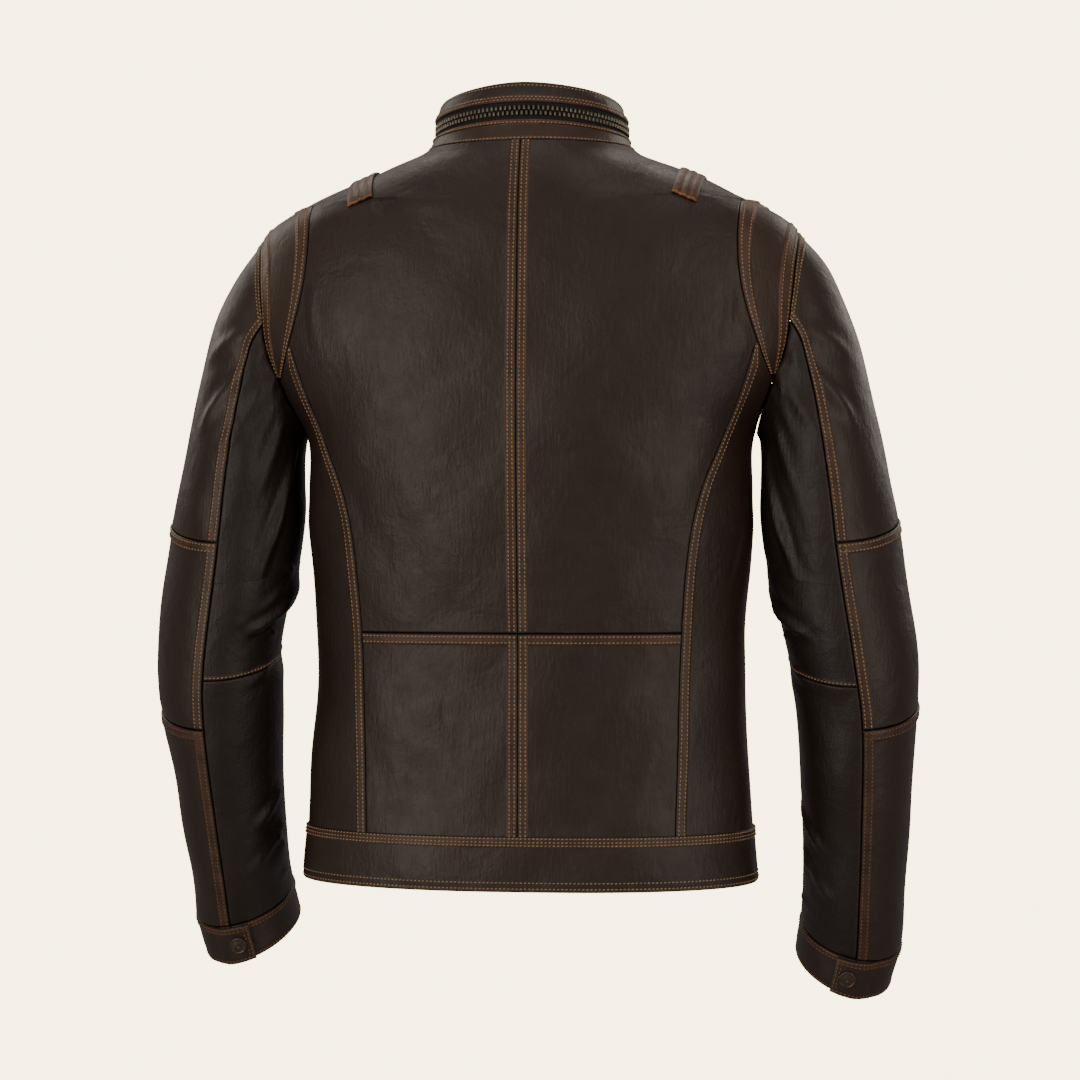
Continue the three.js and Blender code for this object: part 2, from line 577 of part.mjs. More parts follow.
// ---- Sleeves ------------------------------------------------------------------------------
function sleevePanel(name, side, from, to, vFrom, vTo, columns, rows, lift, thick, material) {
  const radius = 56;
  const inset = THREE.MathUtils.radToDeg(SEAM_GAP / 2 / radius);
  const trim = SEAM_GAP / 2 / 60;
  const at = (i, j, face) => {
    const degrees = THREE.MathUtils.lerp(from + inset, to - inset, i / columns);
    const v = THREE.MathUtils.lerp(vFrom + trim, vTo - trim, j / rows);
    return onSleeve(side, degrees, v, lift - face * thick);
  };
  return slab(name, columns, rows, at, material);
}
const topFrom = FRONT_SEAM_ANGLE - 360;
const SLEEVE_LINING_DEPTH = 5;
const SLEEVE_LINING_HEM = 2.9;
for (const [word, side] of sides) {
  const top = [topFrom, BACK_SEAM_ANGLE];
  const under = [BACK_SEAM_ANGLE, FRONT_SEAM_ANGLE];
  sleevePanel(`sleeve_outer_upper_${word}`, side, ...top, 0, PATCH_TOP, 9, 9, 0, LEATHER, leather);
  sleevePanel(`sleeve_elbow_patch_${word}`, side, ...top, PATCH_TOP, PATCH_END, 9, 4, 0, LEATHER, leather);
  sleevePanel(`sleeve_outer_lower_${word}`, side, ...top, PATCH_END, CUFF_TOP, 9, 4, 0, LEATHER, leather);
  sleevePanel(`sleeve_under_upper_${word}`, side, ...under, 0, UNDER_SPLIT, 7, 9, 0, LEATHER, leather);
  sleevePanel(`sleeve_under_elbow_${word}`, side, ...under, UNDER_SPLIT, UNDER_SEAM, 7, 2, 0, LEATHER, leather);
  sleevePanel(`sleeve_under_lower_${word}`, side, ...under, UNDER_SEAM, CUFF_TOP, 7, 5, 0, LEATHER, leather);
  slab(`sleeve_lining_${word}`, 18, 10, (i, j, face) => {
    const v = THREE.MathUtils.lerp(0.6, CUFF_TOP - 0.02, j / 10);
    const depth = j === 10 ? SLEEVE_LINING_HEM : SLEEVE_LINING_DEPTH;
    return onSleeve(side, i * 20, v, -depth - face * LINING);
  }, satin, true);
}

// ---- Cuffs, with a lapped end held by a snap at the back ----------------------------------
const FLAP_LIFT = 3.2;
for (const [word, side] of sides) {
  const edge = SEAM_GAP / 2 / 50;
  slab(`cuff_band_${word}`, 24, 1, (i, j, face) => {
    const v = j === 0 ? CUFF_TOP + edge : CUFF_END;
    return onSleeve(side, BACK_SEAM_ANGLE + i * 15, v, -face * 2.4);
  }, leather, true);
  slab(`cuff_flap_${word}`, 4, 1, (i, j, face) => {
    const v = j === 0 ? CUFF_TOP + edge : CUFF_END;
    const degrees = THREE.MathUtils.lerp(CUFF_FLAP_START, CUFF_FLAP_END, i / 4);
    return onSleeve(side, degrees, v, FLAP_LIFT + (1 - face) * LEATHER);
  }, leather);

  const snapAngle = (BACK_SEAM_ANGLE + CUFF_FLAP_END) / 2;
  const cuffMiddle = (lift) => onSleeve(side, snapAngle, CUFF_TOP + edge, lift)
    .add(onSleeve(side, snapAngle, CUFF_END, lift)).multiplyScalar(0.5);
  const base = cuffMiddle(0);
  const out = cuffMiddle(1).sub(base).normalize();
  const upright = new THREE.Quaternion().setFromUnitVectors(new THREE.Vector3(0, 1, 0), out);
  const turned = (name, outline, segments) => {
    const points = outline.map(([r, y]) => new THREE.Vector2(r, y));
    const mesh = new THREE.Mesh(new THREE.LatheGeometry(points, segments), bronze);
    mesh.name = name;
    mesh.quaternion.copy(upright);
    mesh.position.copy(base);
    jacket.add(mesh);
  };
  const seat = FLAP_LIFT + LEATHER + SEAT_GAP;
  turned(`snap_cap_${word}`, [[0, seat], [SNAP_RADIUS, seat], [SNAP_RADIUS, seat + 0.9],
    [SNAP_RADIUS - 1.6, seat + 2], [0, seat + 2.3]], 16);
  turned(`snap_stud_${word}`, [[0, 0.1], [5, 0.1], [5, 0.8], [2.2, 0.9], [2.2, FLAP_LIFT - 2 * SEAT_GAP],
    [0, FLAP_LIFT - 2 * SEAT_GAP]], 12);
}

export default jacket;
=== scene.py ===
"""Leather riding jacket: the finished surfaces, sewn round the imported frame. Shapes are worked out in
millimetres, as a maker measures, and put into the meshes in metres."""
import math

import bpy
import numpy as np
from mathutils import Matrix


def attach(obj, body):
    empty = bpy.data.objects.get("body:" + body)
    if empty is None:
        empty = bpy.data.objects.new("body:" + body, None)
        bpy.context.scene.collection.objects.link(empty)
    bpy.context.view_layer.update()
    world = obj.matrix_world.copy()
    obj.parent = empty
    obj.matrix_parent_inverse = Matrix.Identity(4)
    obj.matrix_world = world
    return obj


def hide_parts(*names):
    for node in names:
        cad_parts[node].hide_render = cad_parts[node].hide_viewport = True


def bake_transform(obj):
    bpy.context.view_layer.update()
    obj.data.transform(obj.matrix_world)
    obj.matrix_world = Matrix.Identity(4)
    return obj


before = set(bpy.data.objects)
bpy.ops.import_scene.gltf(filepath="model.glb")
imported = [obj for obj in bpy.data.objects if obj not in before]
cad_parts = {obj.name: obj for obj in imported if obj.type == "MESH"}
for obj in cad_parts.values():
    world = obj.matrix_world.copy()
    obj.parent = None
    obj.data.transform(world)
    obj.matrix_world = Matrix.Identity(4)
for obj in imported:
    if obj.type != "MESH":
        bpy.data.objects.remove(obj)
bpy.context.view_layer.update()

# ---- Camera: behind the jacket, a little to its right, level with the small of the back ----------
CAMERA_DISTANCE = 2.10
CAMERA_TURN = math.radians(186)
CAMERA_AIM = (-0.009, 0.0, -0.3436)
FRAME_WIDTH = 0.956
SENSOR = 36.0

camera = bpy.data.objects.new("camera", bpy.data.cameras.new("camera"))
camera.data.sensor_width = SENSOR
camera.data.lens = SENSOR * CAMERA_DISTANCE / FRAME_WIDTH
camera.location = (
    CAMERA_AIM[0] + CAMERA_DISTANCE * math.sin(CAMERA_TURN),
    CAMERA_AIM[1] - CAMERA_DISTANCE * math.cos(CAMERA_TURN),
    CAMERA_AIM[2],
)
camera.rotation_euler = (math.radians(90), 0, CAMERA_TURN)
bpy.context.collection.objects.link(camera)
bpy.context.scene.camera = camera


# ---- Studio: a pale floor, softboxes all round ---------------------------------------------------
# Plain warm white paper. It glows towards the lens only, so that it stays even from every side.
def linear(code):
    """sRGB hex to a linear colour with alpha 1."""
    parts = [int(code[i:i + 2], 16) / 255 for i in (1, 3, 5)]
    return tuple(c / 12.92 if c <= 0.04045 else ((c + 0.055) / 1.055) ** 2.4 for c in parts) + (1.0,)


def node(tree, kind, settings=None, **links):
    """Add one node, set its properties and inputs, and link the inputs that are given a socket."""
    made = tree.nodes.new(kind)
    for key, value in (settings or {}).items():
        setattr(made, key, value)
    for key, value in links.items():
        place = int(key[1:]) if key[0] == "i" and key[1:].isdigit() else key.replace("_", " ")
        if isinstance(value, bpy.types.NodeSocket):
            tree.links.new(value, made.inputs[place])
        else:
            made.inputs[place].default_value = value
    return made


PAPER = "#f5e5ba"
BOUNCE = "#f6f0ee"
GLOW_SEEN = 7.6
GLOW_ON_OBJECT = 0.26
FLOOR_Z = -1.05
FLOOR_REACH = 40.0


def paper_glow(tree, shader, output):
    """Bright cream where the lens sees the paper, and a faint neutral light on the jacket."""
    tree.nodes.clear()
    ray = node(tree, "ShaderNodeLightPath")
    tint = node(tree, "ShaderNodeMix", {"data_type": "RGBA"}, i0=ray.outputs["Is Camera Ray"],
                i6=linear(BOUNCE), i7=linear(PAPER))
    strength = node(tree, "ShaderNodeMapRange", i0=ray.outputs["Is Camera Ray"],
                    i3=GLOW_ON_OBJECT, i4=GLOW_SEEN)
    glow = node(tree, shader, Color=tint.outputs[2], Strength=strength.outputs[0])
    node(tree, output, Surface=glow.outputs[0])


world = bpy.data.worlds.new("studio")
bpy.context.scene.world = world
world.use_nodes = True
paper_glow(world.node_tree, "ShaderNodeBackground", "ShaderNodeOutputWorld")

paper = bpy.data.materials.new("paper floor")
paper.use_nodes = True
paper_glow(paper.node_tree, "ShaderNodeEmission", "ShaderNodeOutputMaterial")
floor_mesh = bpy.data.meshes.new("floor")
corners = [(FLOOR_REACH * x, FLOOR_REACH * y, FLOOR_Z) for x, y in ((-1, -1), (1, -1), (1, 1), (-1, 1))]
floor_mesh.from_pydata(corners, [], [(0, 1, 2, 3)])
floor = bpy.data.objects.new("floor", floor_mesh)
floor.data.materials.append(paper)
bpy.context.collection.objects.link(floor)


SOFTBOX_WHITE = "#fff6ea"


def softbox(name, turn, rise, distance, width, height, power):
    """An area light on a sphere round the jacket, facing its middle: metres, degrees and watts."""
    light = bpy.data.lights.new(name, "AREA")
    light.shape = "RECTANGLE"
    light.size = width
    light.size_y = height
    light.energy = power
    light.color = linear(SOFTBOX_WHITE)[:3]
    holder = bpy.data.objects.new(name, light)
    a = math.radians(turn)
    e = math.radians(rise)
    holder.location = (distance * math.sin(a) * math.cos(e), -distance * math.cos(a) * math.cos(e),
                       CAMERA_AIM[2] + distance * math.sin(e))
    holder.rotation_euler = (math.radians(90) - e, 0, a)
    bpy.context.collection.objects.link(holder)


softbox("key", 150, 8, 2.7, 1.3, 2.0, 24)
softbox("fill", 222, 16, 2.9, 1.2, 1.8, 16)
softbox("low_left", 146, -20, 2.6, 1.2, 0.8, 15)
softbox("low_right", 228, -16, 2.6, 1.2, 0.8, 13)
softbox("front_left", 58, 30, 3.0, 1.4, 2.0, 19)
softbox("front_right", 318, 26, 3.0, 1.4, 2.0, 20)
softbox("front_top", 8, 58, 3.0, 2.0, 1.2, 22)
softbox("top", 180, 74, 2.6, 2.0, 1.4, 12)


# ---- Back of the body: six leather panels --------------------------------------------------------
# Cowhide 1.2 to 1.6 mm thick, cut from one hide, sewn with the seam allowances folded under
# and topstitched, so every seam reads as a raised strip with two rows of thread. Depths run down
# from the nape; t runs round the body from the centre back.
BODY = np.array([
    # depth, half width, centre y, back y, squareness
    [0, 92, -20, 72, 2.0], [7, 102, -18, 76, 2.0], [18, 131, -15, 81, 2.0], [39, 178, -9, 89, 2.1],
    [60, 221, -5, 95, 2.2], [74, 236, -4, 98, 2.3], [100, 244, -3, 102, 2.5], [136, 247, -2, 106, 2.6],
    [175, 241, -2, 110, 2.6], [213, 221, -2, 112, 2.5], [250, 199, -2, 112, 2.45],
    [300, 196, -2, 109, 2.4], [336, 196.5, -2, 106, 2.35], [423, 189.5, -2, 97, 2.3],
    [484.9, 190.5, -2, 96, 2.3], [569.9, 195.5, -2, 98, 2.3], [641, 201, -2, 101, 2.3]])
HEM = 641.0
WAIST = 423.0
BAND_SEAM = 594.0
YOKE = 186.0
FRONT_TOP = (-107.0, 8.0)
FRONT_SLOPE = 0.022
NECK_DROP = 40.0
NECK_RISE = 3.0
NECK_DEPTH = 74.0
HIDE = 1.6


def through(table, at):
    """Smooth curve through the rows of a table, whose first column is the place: a cubic between
    neighbouring rows, with the slope at a row taken from the rows on either side of it."""
    x = table[:, 0]
    y = table[:, 1:]
    order = np.arange(len(x))
    lo = np.maximum(order - 1, 0)
    hi = np.minimum(order + 1, len(x) - 1)
    slope = (y[hi] - y[lo]) / (x[hi] - x[lo])[:, None]
    at = np.asarray(at, float)
    k = np.clip(np.searchsorted(x, at, side="right") - 1, 0, len(x) - 2)
    span = (x[k + 1] - x[k])[..., None]
    s = np.clip((at - x[k])[..., None] / span, 0, 1)
    value = ((1 + 2 * s) * (1 - s) ** 2 * y[k] + s * (1 - s) ** 2 * span * slope[k]
             + s * s * (3 - 2 * s) * y[k + 1] + s * s * (s - 1) * span * slope[k + 1])
    return np.moveaxis(value, -1, 0)


def smooth(lo, hi, x):
    """0 below lo, 1 above hi, and an S curve between."""
    s = np.clip((x - lo) / (hi - lo), 0, 1)
    return s * s * (3 - 2 * s)


def front_y(z):
    """The straight line of the front zip."""
    return FRONT_TOP[0] - FRONT_SLOPE * (FRONT_TOP[1] - z)


def body_skin(t, depth):
    """A superellipse at each depth below the nape: t is 0 at the centre back, 0.5 at the side and 1 at
    the centre front. Near the neck the rings tip forward."""
    half, centre, back, n = through(BODY, depth)
    near = smooth(-NECK_DEPTH, 0, -depth)
    z = -depth + near * (NECK_RISE * np.sin(np.pi * t) ** 2 - NECK_DROP * smooth(0.45, 1, np.abs(t)))
    front = front_y(-depth - near * NECK_DROP)
    s = np.sin(np.pi * t)
    c = np.cos(np.pi * t)
    reach = np.where(c > 0, back - centre, front - centre)
    x = half * np.sign(s) * np.abs(s) ** (2 / n)
    return np.stack([x, centre + reach * np.abs(c) ** (2 / n), z], -1)


def t_at(x, depth, front=False):
    """t of the point at distance x from the centre line."""
    half, _, _, n = through(BODY, depth)
    t = np.arcsin(np.minimum(1, x / half) ** (n / 2)) / np.pi
    return 1 - t if front else t


PRINCESS = np.array([[174, 201], [222, 186], [262, 170], [300, 155], [345, 145], [423, 138], [595, 133.0]])
BAND = np.array([[51, 187], [90, 185], [130, 189], [182, 204], [212, 217.0]])
BAND_TOP, BAND_FOOT = 51.0, 212.0
ARM_Z, ARM_HEIGHT, ARM_DEPTH, ARM_Y = -162.0, 88.0, 56.0, -2.0
BAND_TIP = 203.0


def princess_t(depth):
    """The long curved back seam."""
    return t_at(through(PRINCESS, depth)[0], depth)


def band_t(depth, front=False):
    """The shoulder band's inner seam; above it lies the shoulder seam."""
    t = t_at(through(BAND, depth)[0], depth, front)
    return np.where(np.asarray(depth) < BAND_TOP, 0.5, t)


def armhole(angle):
    """The armhole oval, laid on the body: t and depth for an angle measured from its top."""
    y = ARM_Y + ARM_DEPTH * np.sin(angle)
    depth = np.maximum(NECK_DEPTH, -(ARM_Z + ARM_HEIGHT * np.cos(angle)))
    _, centre, back, n = through(BODY, depth)
    behind = y > centre
    reach = np.where(behind, back - centre, front_y(-depth) - centre)
    c = np.clip((y - centre) / reach, 0, 1) ** (n / 2)
    t = np.arccos(c) / np.pi
    return np.where(behind, t, 1 - t), depth


def armhole_t(depth, front=False):
    """t of the armhole's edge at a depth."""
    angle = np.arccos(np.clip((-depth - ARM_Z) / ARM_HEIGHT, -1, 1))
    return armhole(-angle if front else angle)[0]


def side_t(depth, front=False):
    """Where a body panel stops: shoulder seam, shoulder band, armhole, then side seam."""
    depth = np.asarray(depth, float)
    below = np.where(depth < ARM_HEIGHT - ARM_Z, armhole_t(depth, front), 0.5)
    return np.where(depth < BAND_TIP, band_t(depth, front), below)


class Seam:
    """One edge of a panel: how wide and high its folded strip stands, and where its stitches run."""

    def __init__(self, width=0.0, rise=0.0, rows=(), groove=1.0, wear=0.5, roll=0.0):
        self.width, self.rise, self.rows = width, rise, rows
        self.groove, self.wear, self.roll = groove, wear, roll
        marks = [0, 0.35, 0.8, 1.4, 2.6, 4.2] + list(rows)
        if width:
            marks += [width - 1.0, width - 0.4, width + 0.3, width + 1.0, width + 2.4]
        self.near = np.unique(np.array([m for m in marks if m >= 0]))

    def height(self, d):
        """The strip's height at distance d from the edge, less the dips along its stitches."""
        flat = self.rise * (1 - smooth(self.width - 0.9, self.width + 0.3, d)) if self.width else 0 * d
        for row in self.rows:
            flat = flat - 0.28 * np.exp(-((d - row) / 0.8) ** 2)
        return flat

    def cut(self, d):
        """The groove at the seam, or the rolled edge."""
        edge = np.clip(1 - d / self.roll, 0, 1) ** 2 * self.roll * 0.8 if self.roll else 0 * d
        return -self.groove * np.exp(-(d / 0.7) ** 2) - edge

    def rub_and_highlight(self, d):
        """How far the colour is rubbed off, most on the strip's two ridges; beside the groove it is also a
        painted highlight.
        """
        width = max(self.width, 2.0)
        # The first ridge, just beside the groove, is painted highlight as well as rubbed dye.
        ridge = np.exp(-((d - 1.5) / 0.7) ** 2) + 0.9 * np.exp(-((d - width + 0.7) / 0.8) ** 2)
        fade = 0.34 * (1 - smooth(width - 1, width + 1, d)) + 0.08 * (1 - smooth(width, width + 12, d))
        return self.wear * np.clip(np.maximum(ridge, fade), 0, 1)

    def wax(self, d):
        """How much painted shade darkens the seam's groove, nearly black at its bottom."""
        return min(1.0, self.groove) * np.exp(-(d / 0.75) ** 2)


PLAIN = Seam(wear=0.35)
NONE = Seam(groove=0.0, wear=0.0)
CENTRE = Seam(8.4, 0.9, (2.6, 6.8), wear=0.9)
FELLED = Seam(9.0, 0.9, (2.3, 7.4), wear=0.85)
SINGLE = Seam(3.6, 0.4, (2.0,), groove=0.6, wear=0.7)
TURNED = Seam(0.0, 0.0, (3.0,), groove=0.0, wear=0.8, roll=1.1)

rng = np.random.default_rng(7)
WAVES = [(rng.normal(size=3), rng.uniform(60, 150), rng.uniform(0, 6.28)) for _ in range(9)]
WAVE_HEIGHT = 0.35


def hand(points):
    """Slow unevenness of soft leather: nine long crossed waves, each up to 0.35 mm high."""
    total = np.zeros(points.shape[:-1])
    for direction, length, phase in WAVES:
        unit = direction / np.linalg.norm(direction)
        total += WAVE_HEIGHT * np.sin(points @ unit * (2 * np.pi / length) + phase)
    return total


def creases(points, folds):
    """Folds in soft leather. Each is a line from a to b, with its width and height; beside the ridge
    lies a shallow valley, and both fade towards the line's ends."""
    total = np.zeros(points.shape[:-1])
    for a, b, width, height in folds:
        a = np.array(a, float)
        ab = np.array(b, float) - a
        s = np.clip(((points - a) @ ab) / (ab @ ab), 0, 1)
        away = np.linalg.norm(points - (a + s[..., None] * ab), axis=-1) / width
        fade = 0.15 + 0.85 * np.sin(np.pi * np.clip(s, 0.02, 0.98)) ** 0.7
        total += height * fade * (1 - 1.1 * away ** 2) * np.exp(-away ** 2)
    return total


def spaced(length, first, last, step):
    """Distances along an edge: close together beside the seams at both ends, even between them."""
    ends = first[-1] + last[-1]
    squeeze = min(1.0, 0.8 * length / max(ends, 1e-6))
    lo = first * squeeze
    hi = length - last[::-1] * squeeze
    count = max(2, int(round((length - ends) / step)))
    middle = np.linspace(lo[-1], hi[0], count + 1)[1:-1]
    return np.concatenate([lo, middle, hi])


def columns(lengths, first, last, count):
    """The same for a whole set of rows, each with its own length."""
    squeeze = np.minimum(1.0, 0.8 * lengths / (first[-1] + last[-1]))[:, None]
    lo = first[None, :] * squeeze
    hi = lengths[:, None] - last[None, ::-1] * squeeze
    s = np.linspace(0, 1, count + 1)[None, 1:-1]
    middle = lo[:, -1:] + (hi[:, :1] - lo[:, -1:]) * s
    return np.concatenate([lo, middle, hi], 1)


def arc(points):
    """Distance along each row of points."""
    steps = np.linalg.norm(np.diff(points, axis=-2), axis=-1)
    zero = np.zeros(steps.shape[:-1] + (1,))
    return np.concatenate([zero, np.cumsum(steps, -1)], -1)


def normals(grid, ring=False):
    """Unit normals of a grid of points, from the two directions of its lines."""
    if ring:
        wide = np.concatenate([grid[:, -1:], grid, grid[:, :1]], 1)
        across = np.gradient(wide, axis=1)[:, 1:-1]
    else:
        across = np.gradient(grid, axis=1)
    n = np.cross(across, np.gradient(grid, axis=0))
    return n / np.maximum(np.linalg.norm(n, axis=-1, keepdims=True), 1e-9)


def make_object(name, points, faces, material, **attributes):
    """A mesh object from points in millimetres; the faces are turned to point outwards."""
    tri = np.concatenate([faces[:, [0, 1, 2]], faces[:, [0, 2, 3]]]) if faces.shape[1] == 4 else faces
    a, b, c = (points[tri[:, i]] for i in range(3))
    if np.einsum("ij,ij->", np.cross(a, b), c) < 0:
        faces = faces[:, ::-1]
    mesh = bpy.data.meshes.new(name)
    mesh.from_pydata((points / 1000).tolist(), [], faces.tolist())
    mesh.shade_smooth()
    for key, values in attributes.items():
        mesh.attributes.new(key, "FLOAT", "POINT").data.foreach_set("value", values.astype(np.float32))
    mesh.materials.append(material)
    made = bpy.data.objects.new(name, mesh)
    bpy.context.collection.objects.link(made)
    return made


def slab_faces(rows, wide, ring=False):
    """Quads of a closed slab: an outer grid, an inner grid after it, and the rim that joins them."""
    layer = rows * wide
    i = np.arange(wide if ring else wide - 1)
    j = np.arange(rows - 1)
    jj, ii = np.meshgrid(j, i, indexing="ij")
    nxt = (ii + 1) % wide
    outer = np.stack([jj * wide + ii, jj * wide + nxt, (jj + 1) * wide + nxt, (jj + 1) * wide + ii], -1)
    outer = outer.reshape(-1, 4)
    inner = outer[:, ::-1] + layer
    ends = []
    n = (i + 1) % wide
    last = (rows - 1) * wide
    ends.append(np.stack([n, i, i + layer, n + layer], -1))
    ends.append(np.stack([last + i, last + n, last + n + layer, last + i + layer], -1))
    if not ring:
        a = j * wide
        ends.append(np.stack([a, a + wide, a + wide + layer, a + layer], -1))
        b = a + wide - 1
        ends.append(np.stack([b + wide, b, b + layer, b + wide + layer], -1))
    return np.concatenate([outer, inner] + ends)


threads = {}
STITCH = 3.5


def stitch(line, normal, body, trim=1.5):
    """Keep the stitches that fit along a line: each has a middle, a direction and a normal."""
    run = arc(line)
    count = int((run[-1] - 2 * trim) / STITCH)
    if count < 2:
        return
    at = trim + (run[-1] - 2 * trim) * (np.arange(count) + 0.5) / count
    middle = np.stack([np.interp(at, run, line[:, k]) for k in range(3)], -1)
    ahead = np.stack([np.interp(at + 0.5, run, line[:, k]) for k in range(3)], -1)
    behind = np.stack([np.interp(at - 0.5, run, line[:, k]) for k in range(3)], -1)
    up = np.stack([np.interp(at, run, normal[:, k]) for k in range(3)], -1)
    threads.setdefault(body, []).append((middle, ahead - behind, up))


def sew_threads(body, name, material):
    """One mesh for all the stitches on a body: each a spindle of two rings of four points, with two
    pointed ends that dive into the leather."""
    middle, along, up = (np.concatenate(part) for part in zip(*threads.pop(body)))
    along /= np.linalg.norm(along, axis=1, keepdims=True)
    side = np.cross(up, along)
    side /= np.linalg.norm(side, axis=1, keepdims=True)
    up = np.cross(along, side)
    half, thick, stand = STITCH * 0.36, 0.55, 0.5
    spots = [(-half, 0, -0.15)]
    for place in (-0.5 * half, 0.5 * half):
        spots += [(place, thick, 0), (place, 0, stand), (place, -thick, 0), (place, 0, -stand)]
    spots.append((half, 0, -0.15))
    spots = np.array(spots)
    lean, proud = 0.16, 0.28
    points = (middle[:, None, :] + spots[None, :, :1] * (along + lean * side)[:, None, :]
              + spots[None, :, 1:2] * side[:, None, :] + (spots[None, :, 2:] + proud) * up[:, None, :])
    faces = []
    for k in range(4):
        n = (k + 1) % 4
        faces += [[0, 1 + n, 1 + k, 1 + k], [1 + k, 1 + n, 5 + n, 5 + k], [9, 5 + k, 5 + n, 5 + n]]
    tri = []
    for a, b, c, d in faces:
        tri.append([a, b, c])
        if c != d:
            tri.append([a, c, d])
    tri = np.array(tri)[None] + (np.arange(len(middle)) * 10)[:, None, None]
    return make_object(name, points.reshape(-1, 3), tri.reshape(-1, 3), material)


def panel(name, skin, span, left, right, edges, material, side=1, body="root", thick=HIDE, step=3.6,
          lift=0.0, folds=(), shape=None):
    """A leather panel on a skin(p, q). Its rows run along p from left(q) to right(q), for q over the
    span, with lines close together beside the seams. edges are the seams at left, right, top, bottom.
    The height above the skin is the strip of the highest seam, less the deepest groove, plus folds."""
    seam_l, seam_r, seam_t, seam_b = edges
    q = np.linspace(span[0], span[1], 240)
    middle = skin((left(q) + right(q)) / 2, q)
    run = arc(middle)
    down = spaced(run[-1], seam_t.near, seam_b.near, step)
    q = np.interp(down, run, q)
    s = np.linspace(0, 1, 90)[None, :]
    p = left(q)[:, None] * (1 - s) + right(q)[:, None] * s
    runs = arc(skin(p, q[:, None] + 0 * p))
    lengths = runs[:, -1]
    ends = seam_l.near[-1] + seam_r.near[-1]
    count = max(2, int(round((lengths.max() - ends) / step)))
    across = columns(lengths, seam_l.near, seam_r.near, count)
    p = np.stack([np.interp(a, r, pp) for a, r, pp in zip(across, runs, p)])
    grid = skin(p, q[:, None] + 0 * p)
    n = normals(grid)
    fallen = down[:, None] + 0 * across
    d = [across, lengths[:, None] - across, fallen, down[-1] - fallen]
    seams = (seam_l, seam_r, seam_t, seam_b)
    strip = np.max([s.height(x) for s, x in zip(seams, d)], 0)
    dips = np.min([s.height(x) for s, x in zip(seams, d)] + [0 * strip], 0)
    cut = np.min([s.cut(x) for s, x in zip(seams, d)], 0)
    rub_and_highlight = np.max([s.rub_and_highlight(x) for s, x in zip(seams, d)], 0)
    # Painted shade: how dark each point lies in a seam's groove.
    wax = np.max([s.wax(x) for s, x in zip(seams, d)], 0)
    flip = np.array([side, 1, 1])
    world = grid * flip
    up = n * flip
    settle = smooth(0, 14, np.min(d, 0))
    raised = hand(world) * (0.35 + 0.65 * settle) + creases(grid, folds)
    if shape is not None:
        raised = raised + shape(p, q[:, None], d)
    sewn = strip + np.where(strip > 0, 0, dips) + cut
    outer = world + up * (lift + sewn + raised)[..., None]
    inner = world + up * (lift + raised - thick)[..., None]
    for seam, where in ((seam_l, 0), (seam_r, 1)):
        for row in seam.rows:
            k = int(np.argmin(np.abs(seam.near - row)))
            k = k if where == 0 else across.shape[1] - 1 - k
            stitch(outer[:, k], up[:, k], body)
    for seam, where in ((seam_t, 0), (seam_b, 1)):
        for row in seam.rows:
            k = int(np.argmin(np.abs(seam.near - row)))
            k = k if where == 0 else len(down) - 1 - k
            stitch(outer[k], up[k], body)
    points = np.concatenate([outer.reshape(-1, 3), inner.reshape(-1, 3)])
    faces = slab_faces(*across.shape)
    plain = 0 * rub_and_highlight.ravel()
    # The first attribute holds rubbed dye and a painted highlight beside each groove; the second holds
    # painted shade in the grooves.
    return make_object(name, points, faces, material, wear=np.concatenate([rub_and_highlight.ravel(), plain]),
                       wax=np.concatenate([wax.ravel(), plain]))


def new_material(name):
    """An empty node material and its tree."""
    made = bpy.data.materials.new(name)
    made.use_nodes = True
    made.node_tree.nodes.clear()
    return made, made.node_tree
